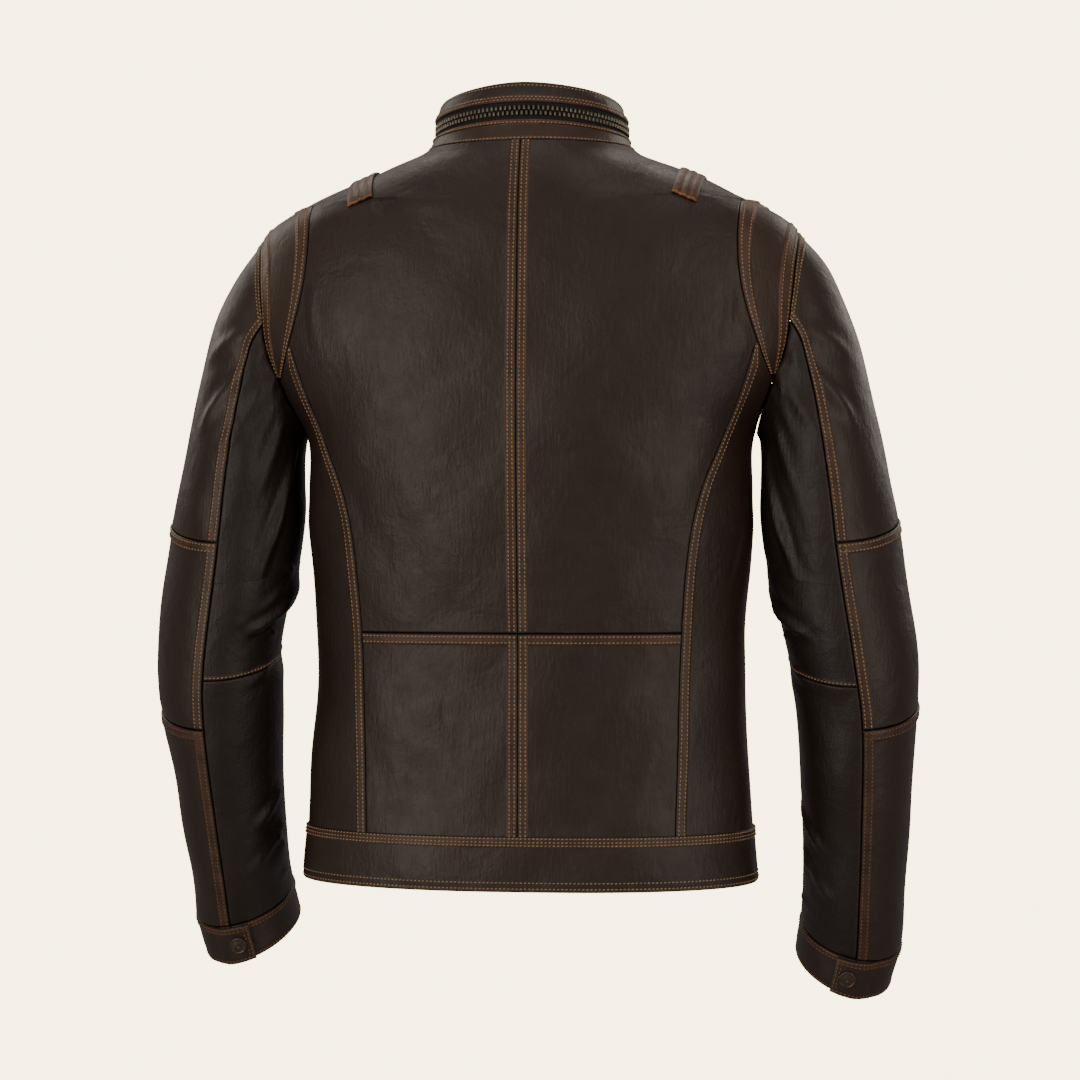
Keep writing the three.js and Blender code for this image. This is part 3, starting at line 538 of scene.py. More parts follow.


# Waxed cowhide, hand rubbed: a deep brown, painted nearly black in the seam grooves as shade, with the dye
# worn back to red-brown on every ridge, where the thin line beside each groove is also a painted highlight.
# Semi-gloss, with a fine pebbled grain. Grain is drawn at 1.6 mm, twice the real 0.8 mm, so that it shows.
def waxed_hide(name, deep, mid, worn, gloss):
    """The attribute wear bares the worn colour in broken patches, with a painted highlight beside each
    groove;
    a second attribute paints shade, nearly black, into the grooves.
    """
    made, tree = new_material(name)
    place = node(tree, "ShaderNodeTexCoord").outputs["Object"]
    cloud = node(tree, "ShaderNodeTexNoise", Vector=place, Scale=11.0, Detail=4.0, Roughness=0.6)
    tone = node(tree, "ShaderNodeMix", {"data_type": "RGBA"}, i0=cloud.outputs["Fac"],
                i6=linear(deep), i7=linear(mid))
    # Rubbed dye, and beside each groove a painted highlight.
    wear = node(tree, "ShaderNodeAttribute", {"attribute_name": "wear"})
    patch = node(tree, "ShaderNodeTexNoise", Vector=place, Scale=60.0, Detail=5.0, Roughness=0.65)
    broken = node(tree, "ShaderNodeMapRange", Value=patch.outputs["Fac"], i1=0.34, i2=0.62, i3=0.25, i4=1.0)
    rubbed = node(tree, "ShaderNodeMath", {"operation": "MULTIPLY"}, i0=wear.outputs["Fac"],
                  i1=broken.outputs[0])
    colour = node(tree, "ShaderNodeMix", {"data_type": "RGBA"}, i0=rubbed.outputs[0],
                  i6=tone.outputs[2], i7=linear(worn))
    # Painted shade: the seam grooves are darkened nearly to black.
    wax = node(tree, "ShaderNodeAttribute", {"attribute_name": "wax"})
    groove_shaded = node(tree, "ShaderNodeMix", {"data_type": "RGBA"}, i0=wax.outputs["Fac"],
                  i6=colour.outputs[2], i7=linear(PAINTED_GROOVE_SHADE))
    grain = node(tree, "ShaderNodeTexVoronoi", {"feature": "SMOOTH_F1"}, Vector=place, Scale=620.0)
    pores = node(tree, "ShaderNodeTexNoise", Vector=place, Scale=260.0, Detail=3.0)
    drawn = node(tree, "ShaderNodeMapping", Vector=place, Rotation=(0.0, 0.7, 0.0),
                 Scale=(420.0, 200.0, 70.0))
    hatch = node(tree, "ShaderNodeTexNoise", Vector=drawn.outputs[0], Scale=1.0, Detail=2.0)
    fine = node(tree, "ShaderNodeMath", {"operation": "MULTIPLY_ADD"}, i0=grain.outputs["Distance"],
                i1=0.55, i2=pores.outputs["Fac"])
    height = node(tree, "ShaderNodeMath", {"operation": "MULTIPLY_ADD"}, i0=hatch.outputs["Fac"],
                  i1=1.7, i2=fine.outputs[0])
    crinkle = node(tree, "ShaderNodeTexNoise", Vector=place, Scale=34.0, Detail=3.0, Distortion=0.6)
    soft = node(tree, "ShaderNodeBump", Height=crinkle.outputs["Fac"], Strength=0.35, Distance=0.004)
    bump = node(tree, "ShaderNodeBump", Height=height.outputs[0], Strength=0.32, Distance=0.0006,
                Normal=soft.outputs[0])
    rough = node(tree, "ShaderNodeMapRange", Value=patch.outputs["Fac"], i1=0.3, i2=0.7,
                 i3=gloss, i4=gloss + 0.12)
    hide = node(tree, "ShaderNodeBsdfPrincipled", i0=groove_shaded.outputs[2], Roughness=rough.outputs[0],
                Normal=bump.outputs[0], IOR=1.5, Specular_IOR_Level=0.38)
    node(tree, "ShaderNodeOutputMaterial", Surface=hide.outputs[0])
    return made


# Near black, painted into the seam grooves as shade.
PAINTED_GROOVE_SHADE = "#060403"
hide = waxed_hide("waxed brown cowhide, rubbed", "#231813", "#35271f", "#64422a", 0.4)
hide_light = waxed_hide("waxed brown cowhide, lighter cut", "#2c1e17", "#3f2d24", "#6c4730", 0.4)
# A darker copy of the hide: partly a darker cut, partly painted shade for the under sleeves.
hide_dark_and_shaded = waxed_hide("waxed brown cowhide, darker cut", "#19110e", "#271c17", "#4e3524", 0.43)
hide_rubbed = waxed_hide("waxed brown cowhide, worn on its ribs", "#3a2418", "#553420", "#96582a", 0.4)

# Bonded polyester thread, three ply, golden tan dulled by wax; a matt sheen along each stitch.
def bonded_thread(name, low, high):
    """Two tones along the thread, and the fine relief of its twist."""
    made, tree = new_material(name)
    place = node(tree, "ShaderNodeTexCoord").outputs["Object"]
    dull = node(tree, "ShaderNodeTexNoise", Vector=place, Scale=90.0, Detail=2.0)
    tint = node(tree, "ShaderNodeMix", {"data_type": "RGBA"}, i0=dull.outputs["Fac"],
                i6=linear(low), i7=linear(high))
    twist = node(tree, "ShaderNodeTexNoise", Vector=place, Scale=2600.0)
    relief = node(tree, "ShaderNodeBump", Height=twist.outputs["Fac"], Strength=0.3, Distance=0.0002)
    ply = node(tree, "ShaderNodeBsdfPrincipled", i0=tint.outputs[2], Roughness=0.6,
               Normal=relief.outputs[0])
    node(tree, "ShaderNodeOutputMaterial", Surface=ply.outputs[0])
    return made


thread = bonded_thread("tan bonded thread", "#6f573d", "#bfa27c")
thread_dark = bonded_thread("tan bonded thread, darkened by handling", "#513526", "#8a6a4e")


# Which two bodies a piece bends between, and where the bend starts and ends, in metres.
HOLDS = {}


def finish(piece, where, slot, *nodes):
    """The piece rides on a body; a piece listed in HOLDS only has its transform baked in, and nothing makes
    it bend.
    slot is not used. The piece stands for the nodes, which are hidden."""
    if where in HOLDS:
        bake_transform(piece)
    else:
        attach(piece, where)
    if nodes:
        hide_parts(*nodes)
    return piece


# Folds of the back, from a to b with width and height, in millimetres on the left half.
BACK_FOLDS = [
    ((128, 76, -46), (192, 50, -53), 4.5, 1.5), ((160, 98, -112), (150, 108, -186), 8, 1.3),
    ((180, 84, -128), (176, 92, -180), 6, 1.2), ((60, 88, -60), (128, 84, -44), 12, 1.2),
    ((148, 110, -200), (92, 112, -262), 14, 0.9), ((128, 108, -250), (70, 108, -330), 16, 0.8),
    ((120, 104, -320), (84, 100, -400), 14, 0.8)]
LOWER_FOLDS = [((110, 88, -440), (60, 96, -520), 14, 0.7), ((120, 86, -500), (96, 92, -580), 10, 0.8)]
SIDE_FOLDS = [
    ((190, 30, -330), (186, 50, -410), 6, 1.7), ((184, 56, -395), (189, 44, -470), 6, 2.0),
    ((178, 70, -440), (190, 40, -520), 6, 1.8), ((168, 78, -470), (186, 50, -560), 8, 1.6),
    ((186, 46, -520), (180, 66, -590), 6, 1.7), ((172, 84, -300), (190, 50, -360), 8, 1.5)]
STRIP_TOP = 177.0
TUCK = 2.5
SEAM_GAP = 0.3
SIDES = (("left", 1), ("right", -1))


def centre_back(depth):
    """The seam down the middle of the back."""
    return 0 * depth


def upper_side(depth):
    """The upper back's outer edge: along the shoulder band, then down the long curved seam."""
    return np.where(depth <= STRIP_TOP, band_t(depth), princess_t(depth))


for word, side in SIDES:
    upper = panel(f"leather_back_upper_{word}", body_skin, (SEAM_GAP, WAIST - SEAM_GAP), centre_back,
                  upper_side, (CENTRE, PLAIN, PLAIN, PLAIN), hide, side, folds=BACK_FOLDS)
    finish(upper, "root", "leather", f"back_upper_{word}")
    lower = panel(f"leather_back_lower_{word}", body_skin, (WAIST + SEAM_GAP, BAND_SEAM + TUCK),
                  centre_back, princess_t, (CENTRE, PLAIN, FELLED, PLAIN), hide, side, folds=LOWER_FOLDS)
    finish(lower, "root", "leather", f"back_lower_{word}")
    flank = panel(f"leather_back_side_{word}", body_skin, (STRIP_TOP - 0.5, BAND_SEAM + TUCK), princess_t,
                  side_t, (FELLED, PLAIN, NONE, PLAIN), hide, side, folds=SIDE_FOLDS)
    finish(flank, "root", "leather", f"back_side_{word}")

# ---- Shoulder bands: a strip of cowhide round the top of each armhole ----------------------------
# Cut across the shoulder in one piece, pointed at both ends; its folded strip lies on the band's side.
BAND_END = 0.94
BAND_SPAN = (0.003, 0.992)
BAND_REACH = math.acos((-BAND_FOOT - ARM_Z) / ARM_HEIGHT)


def band_skin(share, w):
    """From the band's inner seam (w 0) to the armhole (w 1); share runs front to back, -1 to 1."""
    t_arm, depth_arm = armhole(share * BAND_REACH * BAND_END)
    depth = BAND_TOP + (BAND_FOOT - BAND_TOP) * BAND_END * np.abs(share) ** 1.6
    t = through(BAND, depth)[0]
    half, _, _, n = through(BODY, depth)
    t = np.arcsin(np.minimum(1, t / half) ** (n / 2)) / np.pi
    t = np.where(share < 0, 1 - t, t)
    near_top = smooth(0, 0.05, np.abs(share))
    t = 0.5 + (t - 0.5) * near_top
    return body_skin(t + (t_arm - t) * w, depth + (depth_arm - depth) * w)


def constant(value):
    """The same place for every row."""
    return lambda q: value + 0 * q


for word, side in SIDES:
    band = panel(f"leather_shoulder_band_{word}", band_skin, BAND_SPAN, constant(1), constant(-1),
                 (PLAIN, PLAIN, FELLED, FELLED), hide_light, side)
    finish(band, "root", "leather", f"shoulder_band_{word}")

# ---- Front of the body: yokes and front panels ---------------------------------------------------
# The same cowhide: a plain yoke over a long panel on each side, joined by a felled seam; their front
# edges are turned in beside the zip, which keeps them 14 mm apart.
ZIP_HALF_OPENING = 7.0
FRONT_FOLDS = [((150, -100, -300), (60, -108, -330), 9, 1.4), ((180, -80, -330), (90, -106, -380), 8, 1.2)]


def zip_t(depth):
    """The edge of the front opening."""
    return t_at(ZIP_HALF_OPENING, depth, True)


for word, side in SIDES:
    yoke = panel(f"leather_front_yoke_{word}", body_skin, (SEAM_GAP, YOKE - SEAM_GAP),
                 lambda q: band_t(q, True), zip_t, (PLAIN, TURNED, PLAIN, PLAIN), hide, side)
    finish(yoke, "root", "leather", f"front_yoke_{word}")
    front = panel(f"leather_front_panel_{word}", body_skin, (YOKE + SEAM_GAP, BAND_SEAM + TUCK),
                  lambda q: side_t(q, True), zip_t, (PLAIN, TURNED, FELLED, PLAIN), hide, side,
                  folds=FRONT_FOLDS)
    finish(front, "root", "leather", f"front_panel_{word}")

# ---- Waistband -----------------------------------------------------------------------------------
# Cowhide folded double at the hem, 47 mm deep, laid over the body's lower edge; sewn through with
# three rows of stitching at its top and two along the hem.
BAND_LIFT, BAND_THICK = 1.2, 2.6
WAISTBAND_TOP = Seam(8.6, 0.7, (1.5, 4.6, 7.4), wear=0.8)
WAISTBAND_HEM = Seam(0.0, 0.0, (3.0, 8.0), groove=0.0, wear=0.6, roll=1.6)
back_band = panel("leather_waistband_back", body_skin, (BAND_SEAM + SEAM_GAP, HEM), constant(-0.5),
                  constant(0.5), (PLAIN, PLAIN, WAISTBAND_TOP, WAISTBAND_HEM), hide, 1,
                  lift=BAND_LIFT, thick=BAND_THICK)
finish(back_band, "root", "leather", "waistband_back")
for word, side in SIDES:
    strip = panel(f"leather_waistband_front_{word}", body_skin, (BAND_SEAM + SEAM_GAP, HEM), constant(0.5),
                  zip_t, (PLAIN, TURNED, WAISTBAND_TOP, WAISTBAND_HEM), hide, side,
                  lift=BAND_LIFT, thick=BAND_THICK)
    finish(strip, "root", "leather", f"waistband_front_{word}")

# ---- Shoulder tabs: short straps over the shoulder seam ------------------------------------------
# Softer, redder cowhide over three cords, which stand as ribs; the ribs' dye is worn through. Each tab
# is sewn down at both ends.
TAB_X, TAB_WIDTH = 145.0, 21.0
TAB_DROP, TAB_FRONT, TAB_LEAN = 29.0, -0.6, 6.0
RIB_COUNT, RIB_HEIGHT = 3, 0.9
RIDGE_TOP, RIDGE_AT, RIDGE_FALL = 18.0, 131.0, 21 / 47
TAB_LIFT, TAB_THICK, TAB_STEP = 1.9, 1.3, 0.8
TAB_EDGE = Seam(0.0, 0.0, (1.6,), groove=0.0, wear=1.0, roll=0.9)


def tab_skin(across, along):
    """A strip across the shoulder: across is the distance from the centre line; along runs from 1 at its
    back end over the shoulder's ridge, at 0, to the front."""
    depth = RIDGE_TOP + (across - RIDGE_AT) * RIDGE_FALL + TAB_DROP * along ** 2
    across = across - TAB_LEAN * np.maximum(along, 0) ** 2
    back, front = t_at(across, depth), t_at(across, depth, True)
    return body_skin(np.where(along > 0, back, front), depth)


def ribs(across, along, d):
    """Rounded ribs side by side across the tab's width."""
    return RIB_HEIGHT * np.abs(np.cos((across - TAB_X) / TAB_WIDTH * RIB_COUNT * np.pi)) ** 0.7


for word, side in SIDES:
    tab = panel(f"leather_shoulder_tab_{word}", tab_skin, (1, TAB_FRONT), constant(TAB_X + TAB_WIDTH / 2),
                constant(TAB_X - TAB_WIDTH / 2), (NONE, NONE, TAB_EDGE, TAB_EDGE), hide_rubbed, side,
                lift=TAB_LIFT, thick=TAB_THICK, step=TAB_STEP, shape=ribs)
    finish(tab, "root", "leather", f"shoulder_tab_{word}")

# ---- Sleeves: two-piece, curved at the elbow, with a patch of thicker hide -----------------------
# The outer pieces carry the felled strip down the back seam. Above the armpit and at the elbow the
# leather has set in soft folds. Places run from 0 at the armhole to 11 at the wrist.
SLEEVE = np.array([
    # place, outer x, outer z, inner x, inner z, half depth, centre y
    [0, 235, -74, 199, -250, 56, -2], [1, 265, -113, 200.5, -253, 60, -2],
    [2, 288, -165, 202, -258, 62, -3], [3, 305, -240, 203.5, -275, 64, -3],
    [4, 316, -290, 204, -295, 64, -4], [5, 325, -336, 205, -336, 63, -5],
    [6, 337, -430, 219, -430, 60, -8], [7, 335, -485, 227, -485, 57, -14],
    [8, 324, -570, 228, -570, 52, -28], [9, 316, -634, 226, -630, 48, -40],
    [10, 313, -680, 224, -661, 46, -50], [11, 304, -716, 219, -691, 46, -58.0]])
LEAN, RIGHT_WIDER, RIGHT_LOWER = 20.0, 15.0, 20.0
ELBOW_HOLLOW, ELBOW_RIDGE = 5.5, 2.5
BACK_SEAM, FRONT_SEAM = 86.0, 236.0
PATCH_TOP, UNDER_SPLIT, UNDER_SEAM = 4.84, 5.3, 6.28
PATCH_ENDS = {"left": 7.09, "right": 6.95}
CUFF_TOP, CUFF_END = 10.0, 11.0


def sleeve_ring(row, angle):
    """One slanted oval of the sleeve: outer side at angle 0, back at 90, inner side at 180."""
    xo, zo, xi, zi, half, y = row
    c = np.cos(angle)
    return np.stack([(xo + xi) / 2 + (xo - xi) / 2 * c, y + half * np.sin(angle),
                     (zo + zi) / 2 + (zo - zi) / 2 * c], -1)


def sleeve_on(side):
    """The sleeve's skin for one side, as a left sleeve. Its top is drawn onto the armhole, the inner
    elbow is hollowed under a ridge, and the right forearm hangs a little wider and lower."""
    def skin(degrees, v):
        angle = np.radians(degrees + 0 * v)
        v = v + 0 * angle
        point = sleeve_ring(through(SLEEVE, v), angle)
        hold = 1 - smooth(0, 2, v)
        t, depth = armhole(angle)
        first = [SLEEVE[0, k] for k in range(1, 7)]
        point = point + hold[..., None] * (body_skin(t, depth) - sleeve_ring(first, angle))
        point[..., 2] -= LEAN * smooth(1, 5, v) * np.sin(angle)
        notch = ELBOW_HOLLOW * smooth(5.66, 5.8, v) * (1 - smooth(6.2, 6.7, v))
        notch -= ELBOW_RIDGE * np.exp(-((v - 5.58) / 0.08) ** 2)
        point[..., 0] += (1.0 if side > 0 else 0.6) * notch * np.maximum(0, -np.cos(angle)) ** 1.5
        if side < 0:
            point[..., 0] += RIGHT_WIDER * smooth(5, 9.5, v)
            point[..., 2] -= RIGHT_LOWER * smooth(5.5, 10, v)
        return point
    return skin


ARMPIT_FOLDS = [
    # from, to, width, height: on the left sleeve, in millimetres
    ((214, 50, -196), (262, 58, -262), 7, 5.0), ((216, 46, -216), (276, 50, -330), 8, 4.6),
    ((212, 40, -236), (250, 52, -338), 7, 4.2), ((226, 56, -176), (292, 50, -250), 8, 3.6),
    ((206, 20, -262), (226, 48, -360), 7, 4.2), ((232, 60, -160), (300, 38, -190), 10, 2.4),
    ((208, 34, -300), (236, 50, -390), 7, 3.2)]
ELBOW_FOLDS = [
    ((208, 10, -372), (240, 48, -352), 6, 4.2), ((210, 8, -398), (246, 50, -430), 6, 4.6),
    ((216, 6, -430), (252, 48, -416), 6, 3.8), ((214, 0, -446), (246, 44, -474), 7, 4.0),
    ((328, 10, -420), (318, 34, -452), 7, 1.8), ((214, 20, -384), (232, 48, -408), 5, 2.6)]
WRIST_FOLDS = [
    ((226, -20, -560), (244, 14, -604), 6, 3.4), ((226, -24, -596), (250, 4, -640), 6, 3.8),
    ((224, -30, -622), (246, 0, -600), 6, 3.2), ((224, -40, -640), (250, -6, -664), 5, 3.4)]
LEFT_ONLY = [((300, 44, -300), (272, 58, -350), 14, 1.2)]
WRIST_SHARE = 0.85


def moved(folds, side):
    """The wrist's folds follow the right forearm outwards and down."""
    if side > 0:
        return folds
    shift = np.array([RIGHT_WIDER, 0, -RIGHT_LOWER]) * WRIST_SHARE
    return [(np.array(a) + shift, np.array(b) + shift, w, h) for a, b, w, h in folds]


PATCH_EDGE = Seam(9.0, 1.1, (2.2, 7.6), wear=0.9)
# Half the gap at a cross seam, in places along the sleeve.
SLIT = 0.005
# Where the leather bends, in metres from the nape: out along the sleeve's first run, and down.
SLEEVE_RUN = (0.98, -0.2)
SHOULDER_BEND = (0.254, 0.277)
ELBOW_BEND = (-0.388, -0.425)
OUT, IN = constant(BACK_SEAM - SEAM_GAP), constant(FRONT_SEAM - 360 + SEAM_GAP)
UNDER_OUT, UNDER_IN = constant(FRONT_SEAM - SEAM_GAP), constant(BACK_SEAM + SEAM_GAP)
for word, side in SIDES:
    skin = sleeve_on(side)
    out = np.array([side * SLEEVE_RUN[0], 0, SLEEVE_RUN[1]])
    HOLDS[f"shoulder_{word}"] = ("root", f"sleeve_{word}", SHOULDER_BEND[0] * out, SHOULDER_BEND[1] * out)
    HOLDS[f"elbow_{word}"] = (f"sleeve_{word}", f"forearm_{word}", (0, 0, ELBOW_BEND[0]),
                              (0, 0, ELBOW_BEND[1]))
    upper_folds = ARMPIT_FOLDS + (LEFT_ONLY if side > 0 else [])
    wrist = moved(WRIST_FOLDS, side)
    patch_end = PATCH_ENDS[word]
    shoulder, elbow, forearm = f"shoulder_{word}", f"elbow_{word}", f"forearm_{word}"
    for name, left, right, span, seams, where, folds in (
            ("outer_upper", OUT, IN, (0.0, PATCH_TOP - SLIT), (FELLED, PLAIN, FELLED, PLAIN),
             shoulder, upper_folds),
            ("elbow_patch", OUT, IN, (PATCH_TOP + SLIT, patch_end - SLIT),
             (FELLED, PLAIN, PATCH_EDGE, PLAIN), elbow, ELBOW_FOLDS),
            ("outer_lower", OUT, IN, (patch_end + SLIT, CUFF_TOP - SLIT),
             (FELLED, PLAIN, PATCH_EDGE, PLAIN), forearm, wrist),
            ("under_upper", UNDER_OUT, UNDER_IN, (0.0, UNDER_SPLIT), (PLAIN, PLAIN, PLAIN, NONE),
             shoulder, upper_folds + ELBOW_FOLDS),
            ("under_elbow", UNDER_OUT, UNDER_IN, (UNDER_SPLIT, UNDER_SEAM - SLIT),
             (PLAIN, PLAIN, NONE, SINGLE), elbow, ELBOW_FOLDS),
            ("under_lower", UNDER_OUT, UNDER_IN, (UNDER_SEAM + SLIT, CUFF_TOP - SLIT),
             (PLAIN, PLAIN, PLAIN, PLAIN), forearm, wrist + ELBOW_FOLDS)):
        # The under pieces take the darker copy of the hide, which is partly painted shade.
        material = hide_dark_and_shaded if name.startswith("under") else hide
        made = panel(f"leather_sleeve_{name}_{word}", skin, span, left, right, seams, material, side,
                     where, folds=folds)
        finish(made, where, "leather", f"sleeve_{name}_{word}")

# ---- Cuffs: a band closed at the back by a lapped end with a snap --------------------------------
# Cowhide folded double at the wrist, topstitched at both edges. The lapped end is a second layer with
# a bound edge, sewn down at its root, and it carries the snap's cap.
CUFF_FLAP_START, CUFF_FLAP_END, FLAP_LIFT = 60.0, 106.0, 3.2
FLAP_ROOT_SPREAD, FLAP_ROOT_LIFT = 22.0, 0.9
CUFF_THICK, CUFF_SLIT = 2.4, 0.006
CUFF_SEAM = Seam(6.0, 0.8, (1.6, 4.8), wear=0.9)
CUFF_HEM = Seam(0.0, 0.0, (3.0,), groove=0.0, wear=0.6, roll=1.4)
FLAP_EDGE = Seam(0.0, 0.0, (2.2, 4.6), groove=0.0, wear=1.0, roll=1.2)


def flap_root(degrees, v, d):
    """The lapped end comes down onto the cuff where it is sewn."""
    sewn_down = 1 - smooth(CUFF_FLAP_START, CUFF_FLAP_START + FLAP_ROOT_SPREAD, degrees)
    return (FLAP_ROOT_LIFT - FLAP_LIFT - HIDE) * sewn_down + 0 * v


for word, side in SIDES:
    skin = sleeve_on(side)
    cuff = panel(f"leather_cuff_band_{word}", skin, (CUFF_TOP + CUFF_SLIT, CUFF_END),
                 constant(BACK_SEAM + 360), constant(BACK_SEAM), (PLAIN, PLAIN, CUFF_SEAM, CUFF_HEM), hide,
                 side, f"forearm_{word}", CUFF_THICK)
    finish(cuff, f"forearm_{word}", "leather", f"cuff_band_{word}")
    flap = panel(f"leather_cuff_flap_{word}", skin, (CUFF_TOP + CUFF_SLIT, CUFF_END),
                 constant(CUFF_FLAP_END), constant(CUFF_FLAP_START),
                 (FLAP_EDGE, NONE, CUFF_SEAM, CUFF_HEM), hide, side, f"cuff_flap_{word}",
                 lift=FLAP_LIFT + HIDE, shape=flap_root)
    finish(flap, f"cuff_flap_{word}", "leather", f"cuff_flap_{word}")

# ---- Snaps: caps on the lapped ends, studs on the cuffs ------------------------------------------
# Spun brass, plated dark bronze and a little tarnished: a rolled rim round a shallow dome. Cap and
# stud are riveted through the leather.
SNAP_RADIUS, SNAP_PLACE, SNAP_SEAT = 7.6, 91.0, 0.35
bronze, tree = new_material("dark bronze plated brass")
place = node(tree, "ShaderNodeTexCoord").outputs["Object"]
tarnish = node(tree, "ShaderNodeTexNoise", Vector=place, Scale=400.0, Detail=3.0)
tint = node(tree, "ShaderNodeMix", {"data_type": "RGBA"}, i0=tarnish.outputs["Fac"],
            i6=linear("#4a3f38"), i7=linear("#766657"))
rough = node(tree, "ShaderNodeMapRange", Value=tarnish.outputs["Fac"], i3=0.26, i4=0.46)
metal = node(tree, "ShaderNodeBsdfPrincipled", i0=tint.outputs[2], Metallic=1.0, Roughness=rough.outputs[0])
node(tree, "ShaderNodeOutputMaterial", Surface=metal.outputs[0])


def turned(name, outline, origin, out, material, count=40):
    """A turned piece: the outline's radius and height, spun round the direction out."""
    out = out / np.linalg.norm(out)
    a = np.cross(out, [0, 0, 1.0])
    a /= np.linalg.norm(a)
    b = np.cross(out, a)
    turn = np.linspace(0, 2 * np.pi, count, endpoint=False)
    spoke = np.cos(turn)[:, None] * a + np.sin(turn)[:, None] * b
    outline = np.array(outline, float)
    ring = origin + outline[:, None, :1] * spoke[None] + outline[:, None, 1:] * out
    rows = len(outline)
    i = np.arange(count)
    faces = [np.stack([k * count + i, k * count + (i + 1) % count, (k + 1) % rows * count + (i + 1) % count,
                       (k + 1) % rows * count + i], -1) for k in range(rows)]
    return make_object(name, ring.reshape(-1, 3), np.concatenate(faces), material)


CAP = [(0.05, 0.0), (SNAP_RADIUS - 0.3, 0.0), (SNAP_RADIUS, 0.3), (SNAP_RADIUS, 1.1),
       (SNAP_RADIUS - 0.4, 1.7), (SNAP_RADIUS - 1.0, 1.9), (SNAP_RADIUS - 1.5, 1.5),
       (SNAP_RADIUS - 1.9, 1.45), (4.0, 1.8), (2.0, 2.0), (0.05, 2.05)]
STUD = [(0.05, 0.1), (5.0, 0.1), (5.0, 0.6), (4.6, 0.8), (2.3, 0.9), (2.2, 2.2), (1.9, 2.5), (0.05, 2.5)]
for word, side in SIDES:
    skin = sleeve_on(side)
    angle = np.full(1, SNAP_PLACE)
    flip = np.array([side, 1, 1])
    high = skin(angle, np.full(1, CUFF_TOP + CUFF_SLIT))[0]
    low = skin(angle, np.full(1, CUFF_END))[0]
    middle = (high + low) / 2 * flip
    along = (low - high) * flip
    halfway = np.full(1, (CUFF_TOP + CUFF_END) / 2)
    across = (skin(angle + 2, halfway) - skin(angle - 2, halfway))[0] * flip
    out = np.cross(across, along)
    out *= np.sign(out[1]) / np.linalg.norm(out)
    cap = turned(f"snap_cap_{word}", CAP, middle + out * (FLAP_LIFT + HIDE + SNAP_SEAT), out, bronze)
    finish(cap, f"cuff_flap_{word}", "snap_bronze", f"snap_cap_{word}")
    stud = turned(f"snap_stud_{word}", STUD, middle, out, bronze)
    finish(stud, f"forearm_{word}", "snap_bronze", f"snap_stud_{word}")

# ---- Collar: two bands of hide, with a zip sunk between them -------------------------------------
# Cowhide turned over a stiff core, 3 mm thick in all, so the collar stands by itself. Both bands are
# topstitched beside the zip, and the lower one is piped where it joins the neck.
COLLAR_Y, COLLAR_RADIUS, COLLAR_THICK, COLLAR_GAP = -20.0, 87.0, 3.0, 9.0
COLLAR_ZIP_Z, COLLAR_ZIP_HALF, COLLAR_SLOPE = 25.3, 7.4, 0.36
COLLAR_BACK, COLLAR_FRONT, COLLAR_FALL = 52.0, 37.0, 5.5
COLLAR_FLARE, COLLAR_STEP = 5.0, 3.0
UPPER_INSET, NECK_TUCK = 0.6, 0.8
TOP_ROUND = 0.02


def collar_point(angle, radius, z):
    """A point round the neck; angle 0 is the centre back."""
    return np.stack([radius * np.sin(angle), COLLAR_Y + radius * np.cos(angle), z + 0 * angle], -1)


def zip_fall(angle):
    """How far the collar's zip and the seams beside it dip over the shoulders; they come back up at the
    front, where the slider stops."""
    return COLLAR_FALL * np.sin(angle) ** 2 * (1 - smooth(2.0, 2.6, np.abs(angle)))


def upper_band(place, share):
    """The upper band, leaning inwards, from its top edge (share 0) to the zip (share 1). The top edge
    falls towards the front in a rounded slope: 0 at the centre back, 1 at the centre front."""
    angle = place * (np.pi - math.asin(COLLAR_GAP / COLLAR_RADIUS))
    foot = COLLAR_ZIP_Z + COLLAR_ZIP_HALF - zip_fall(angle)
    start = math.sqrt(TOP_ROUND)
    fall = np.sqrt((1 - np.cos(angle)) / 2 + TOP_ROUND) - start
    fall /= math.sqrt(1 + TOP_ROUND) - start
    top = COLLAR_BACK - (COLLAR_BACK - COLLAR_FRONT) * fall
    z = top + (foot - top) * share
    return collar_point(angle, COLLAR_RADIUS - UPPER_INSET - COLLAR_SLOPE * (z - foot), z)


def lower_band(place, share):
    """The lower band, from the zip (share 0) down to the neck seam (share 1)."""
    radius = COLLAR_RADIUS + COLLAR_FLARE * share
    angle = place * (np.pi - np.arcsin(COLLAR_GAP / radius))
    t = np.abs(angle) / np.pi
    neck = NECK_RISE * np.sin(np.pi * t) ** 2 - NECK_DROP * smooth(0.45, 1, t) - NECK_TUCK
    top = COLLAR_ZIP_Z - COLLAR_ZIP_HALF - zip_fall(angle)
    return collar_point(angle, radius, top + (neck - top) * share)


ROLLED = Seam(0.0, 0.0, (4.2,), groove=0.0, wear=0.5, roll=2.2)
ZIP_LIP = Seam(6.4, 0.8, (2.2, 4.8), groove=0.2, wear=0.8, roll=0.8)
LOWER_LIP = Seam(4.6, 0.9, (3.2,), groove=0.2, wear=0.8, roll=0.8)
PIPED = Seam(2.8, 0.7, (1.5,), wear=0.7)
upper = panel("leather_collar_upper_band", upper_band, (0.0, 1.0), constant(-1.0), constant(1.0),
              (TURNED, TURNED, ROLLED, ZIP_LIP), hide, 1, thick=COLLAR_THICK, step=COLLAR_STEP)
finish(upper, "root", "leather", "collar_upper_band")
lower = panel("leather_collar_lower_band", lower_band, (0.0, 1.0), constant(-1.0), constant(1.0),
              (TURNED, TURNED, LOWER_LIP, PIPED), hide_light, 1, thick=COLLAR_THICK, step=COLLAR_STEP)
finish(lower, "root", "leather", "collar_lower_band")

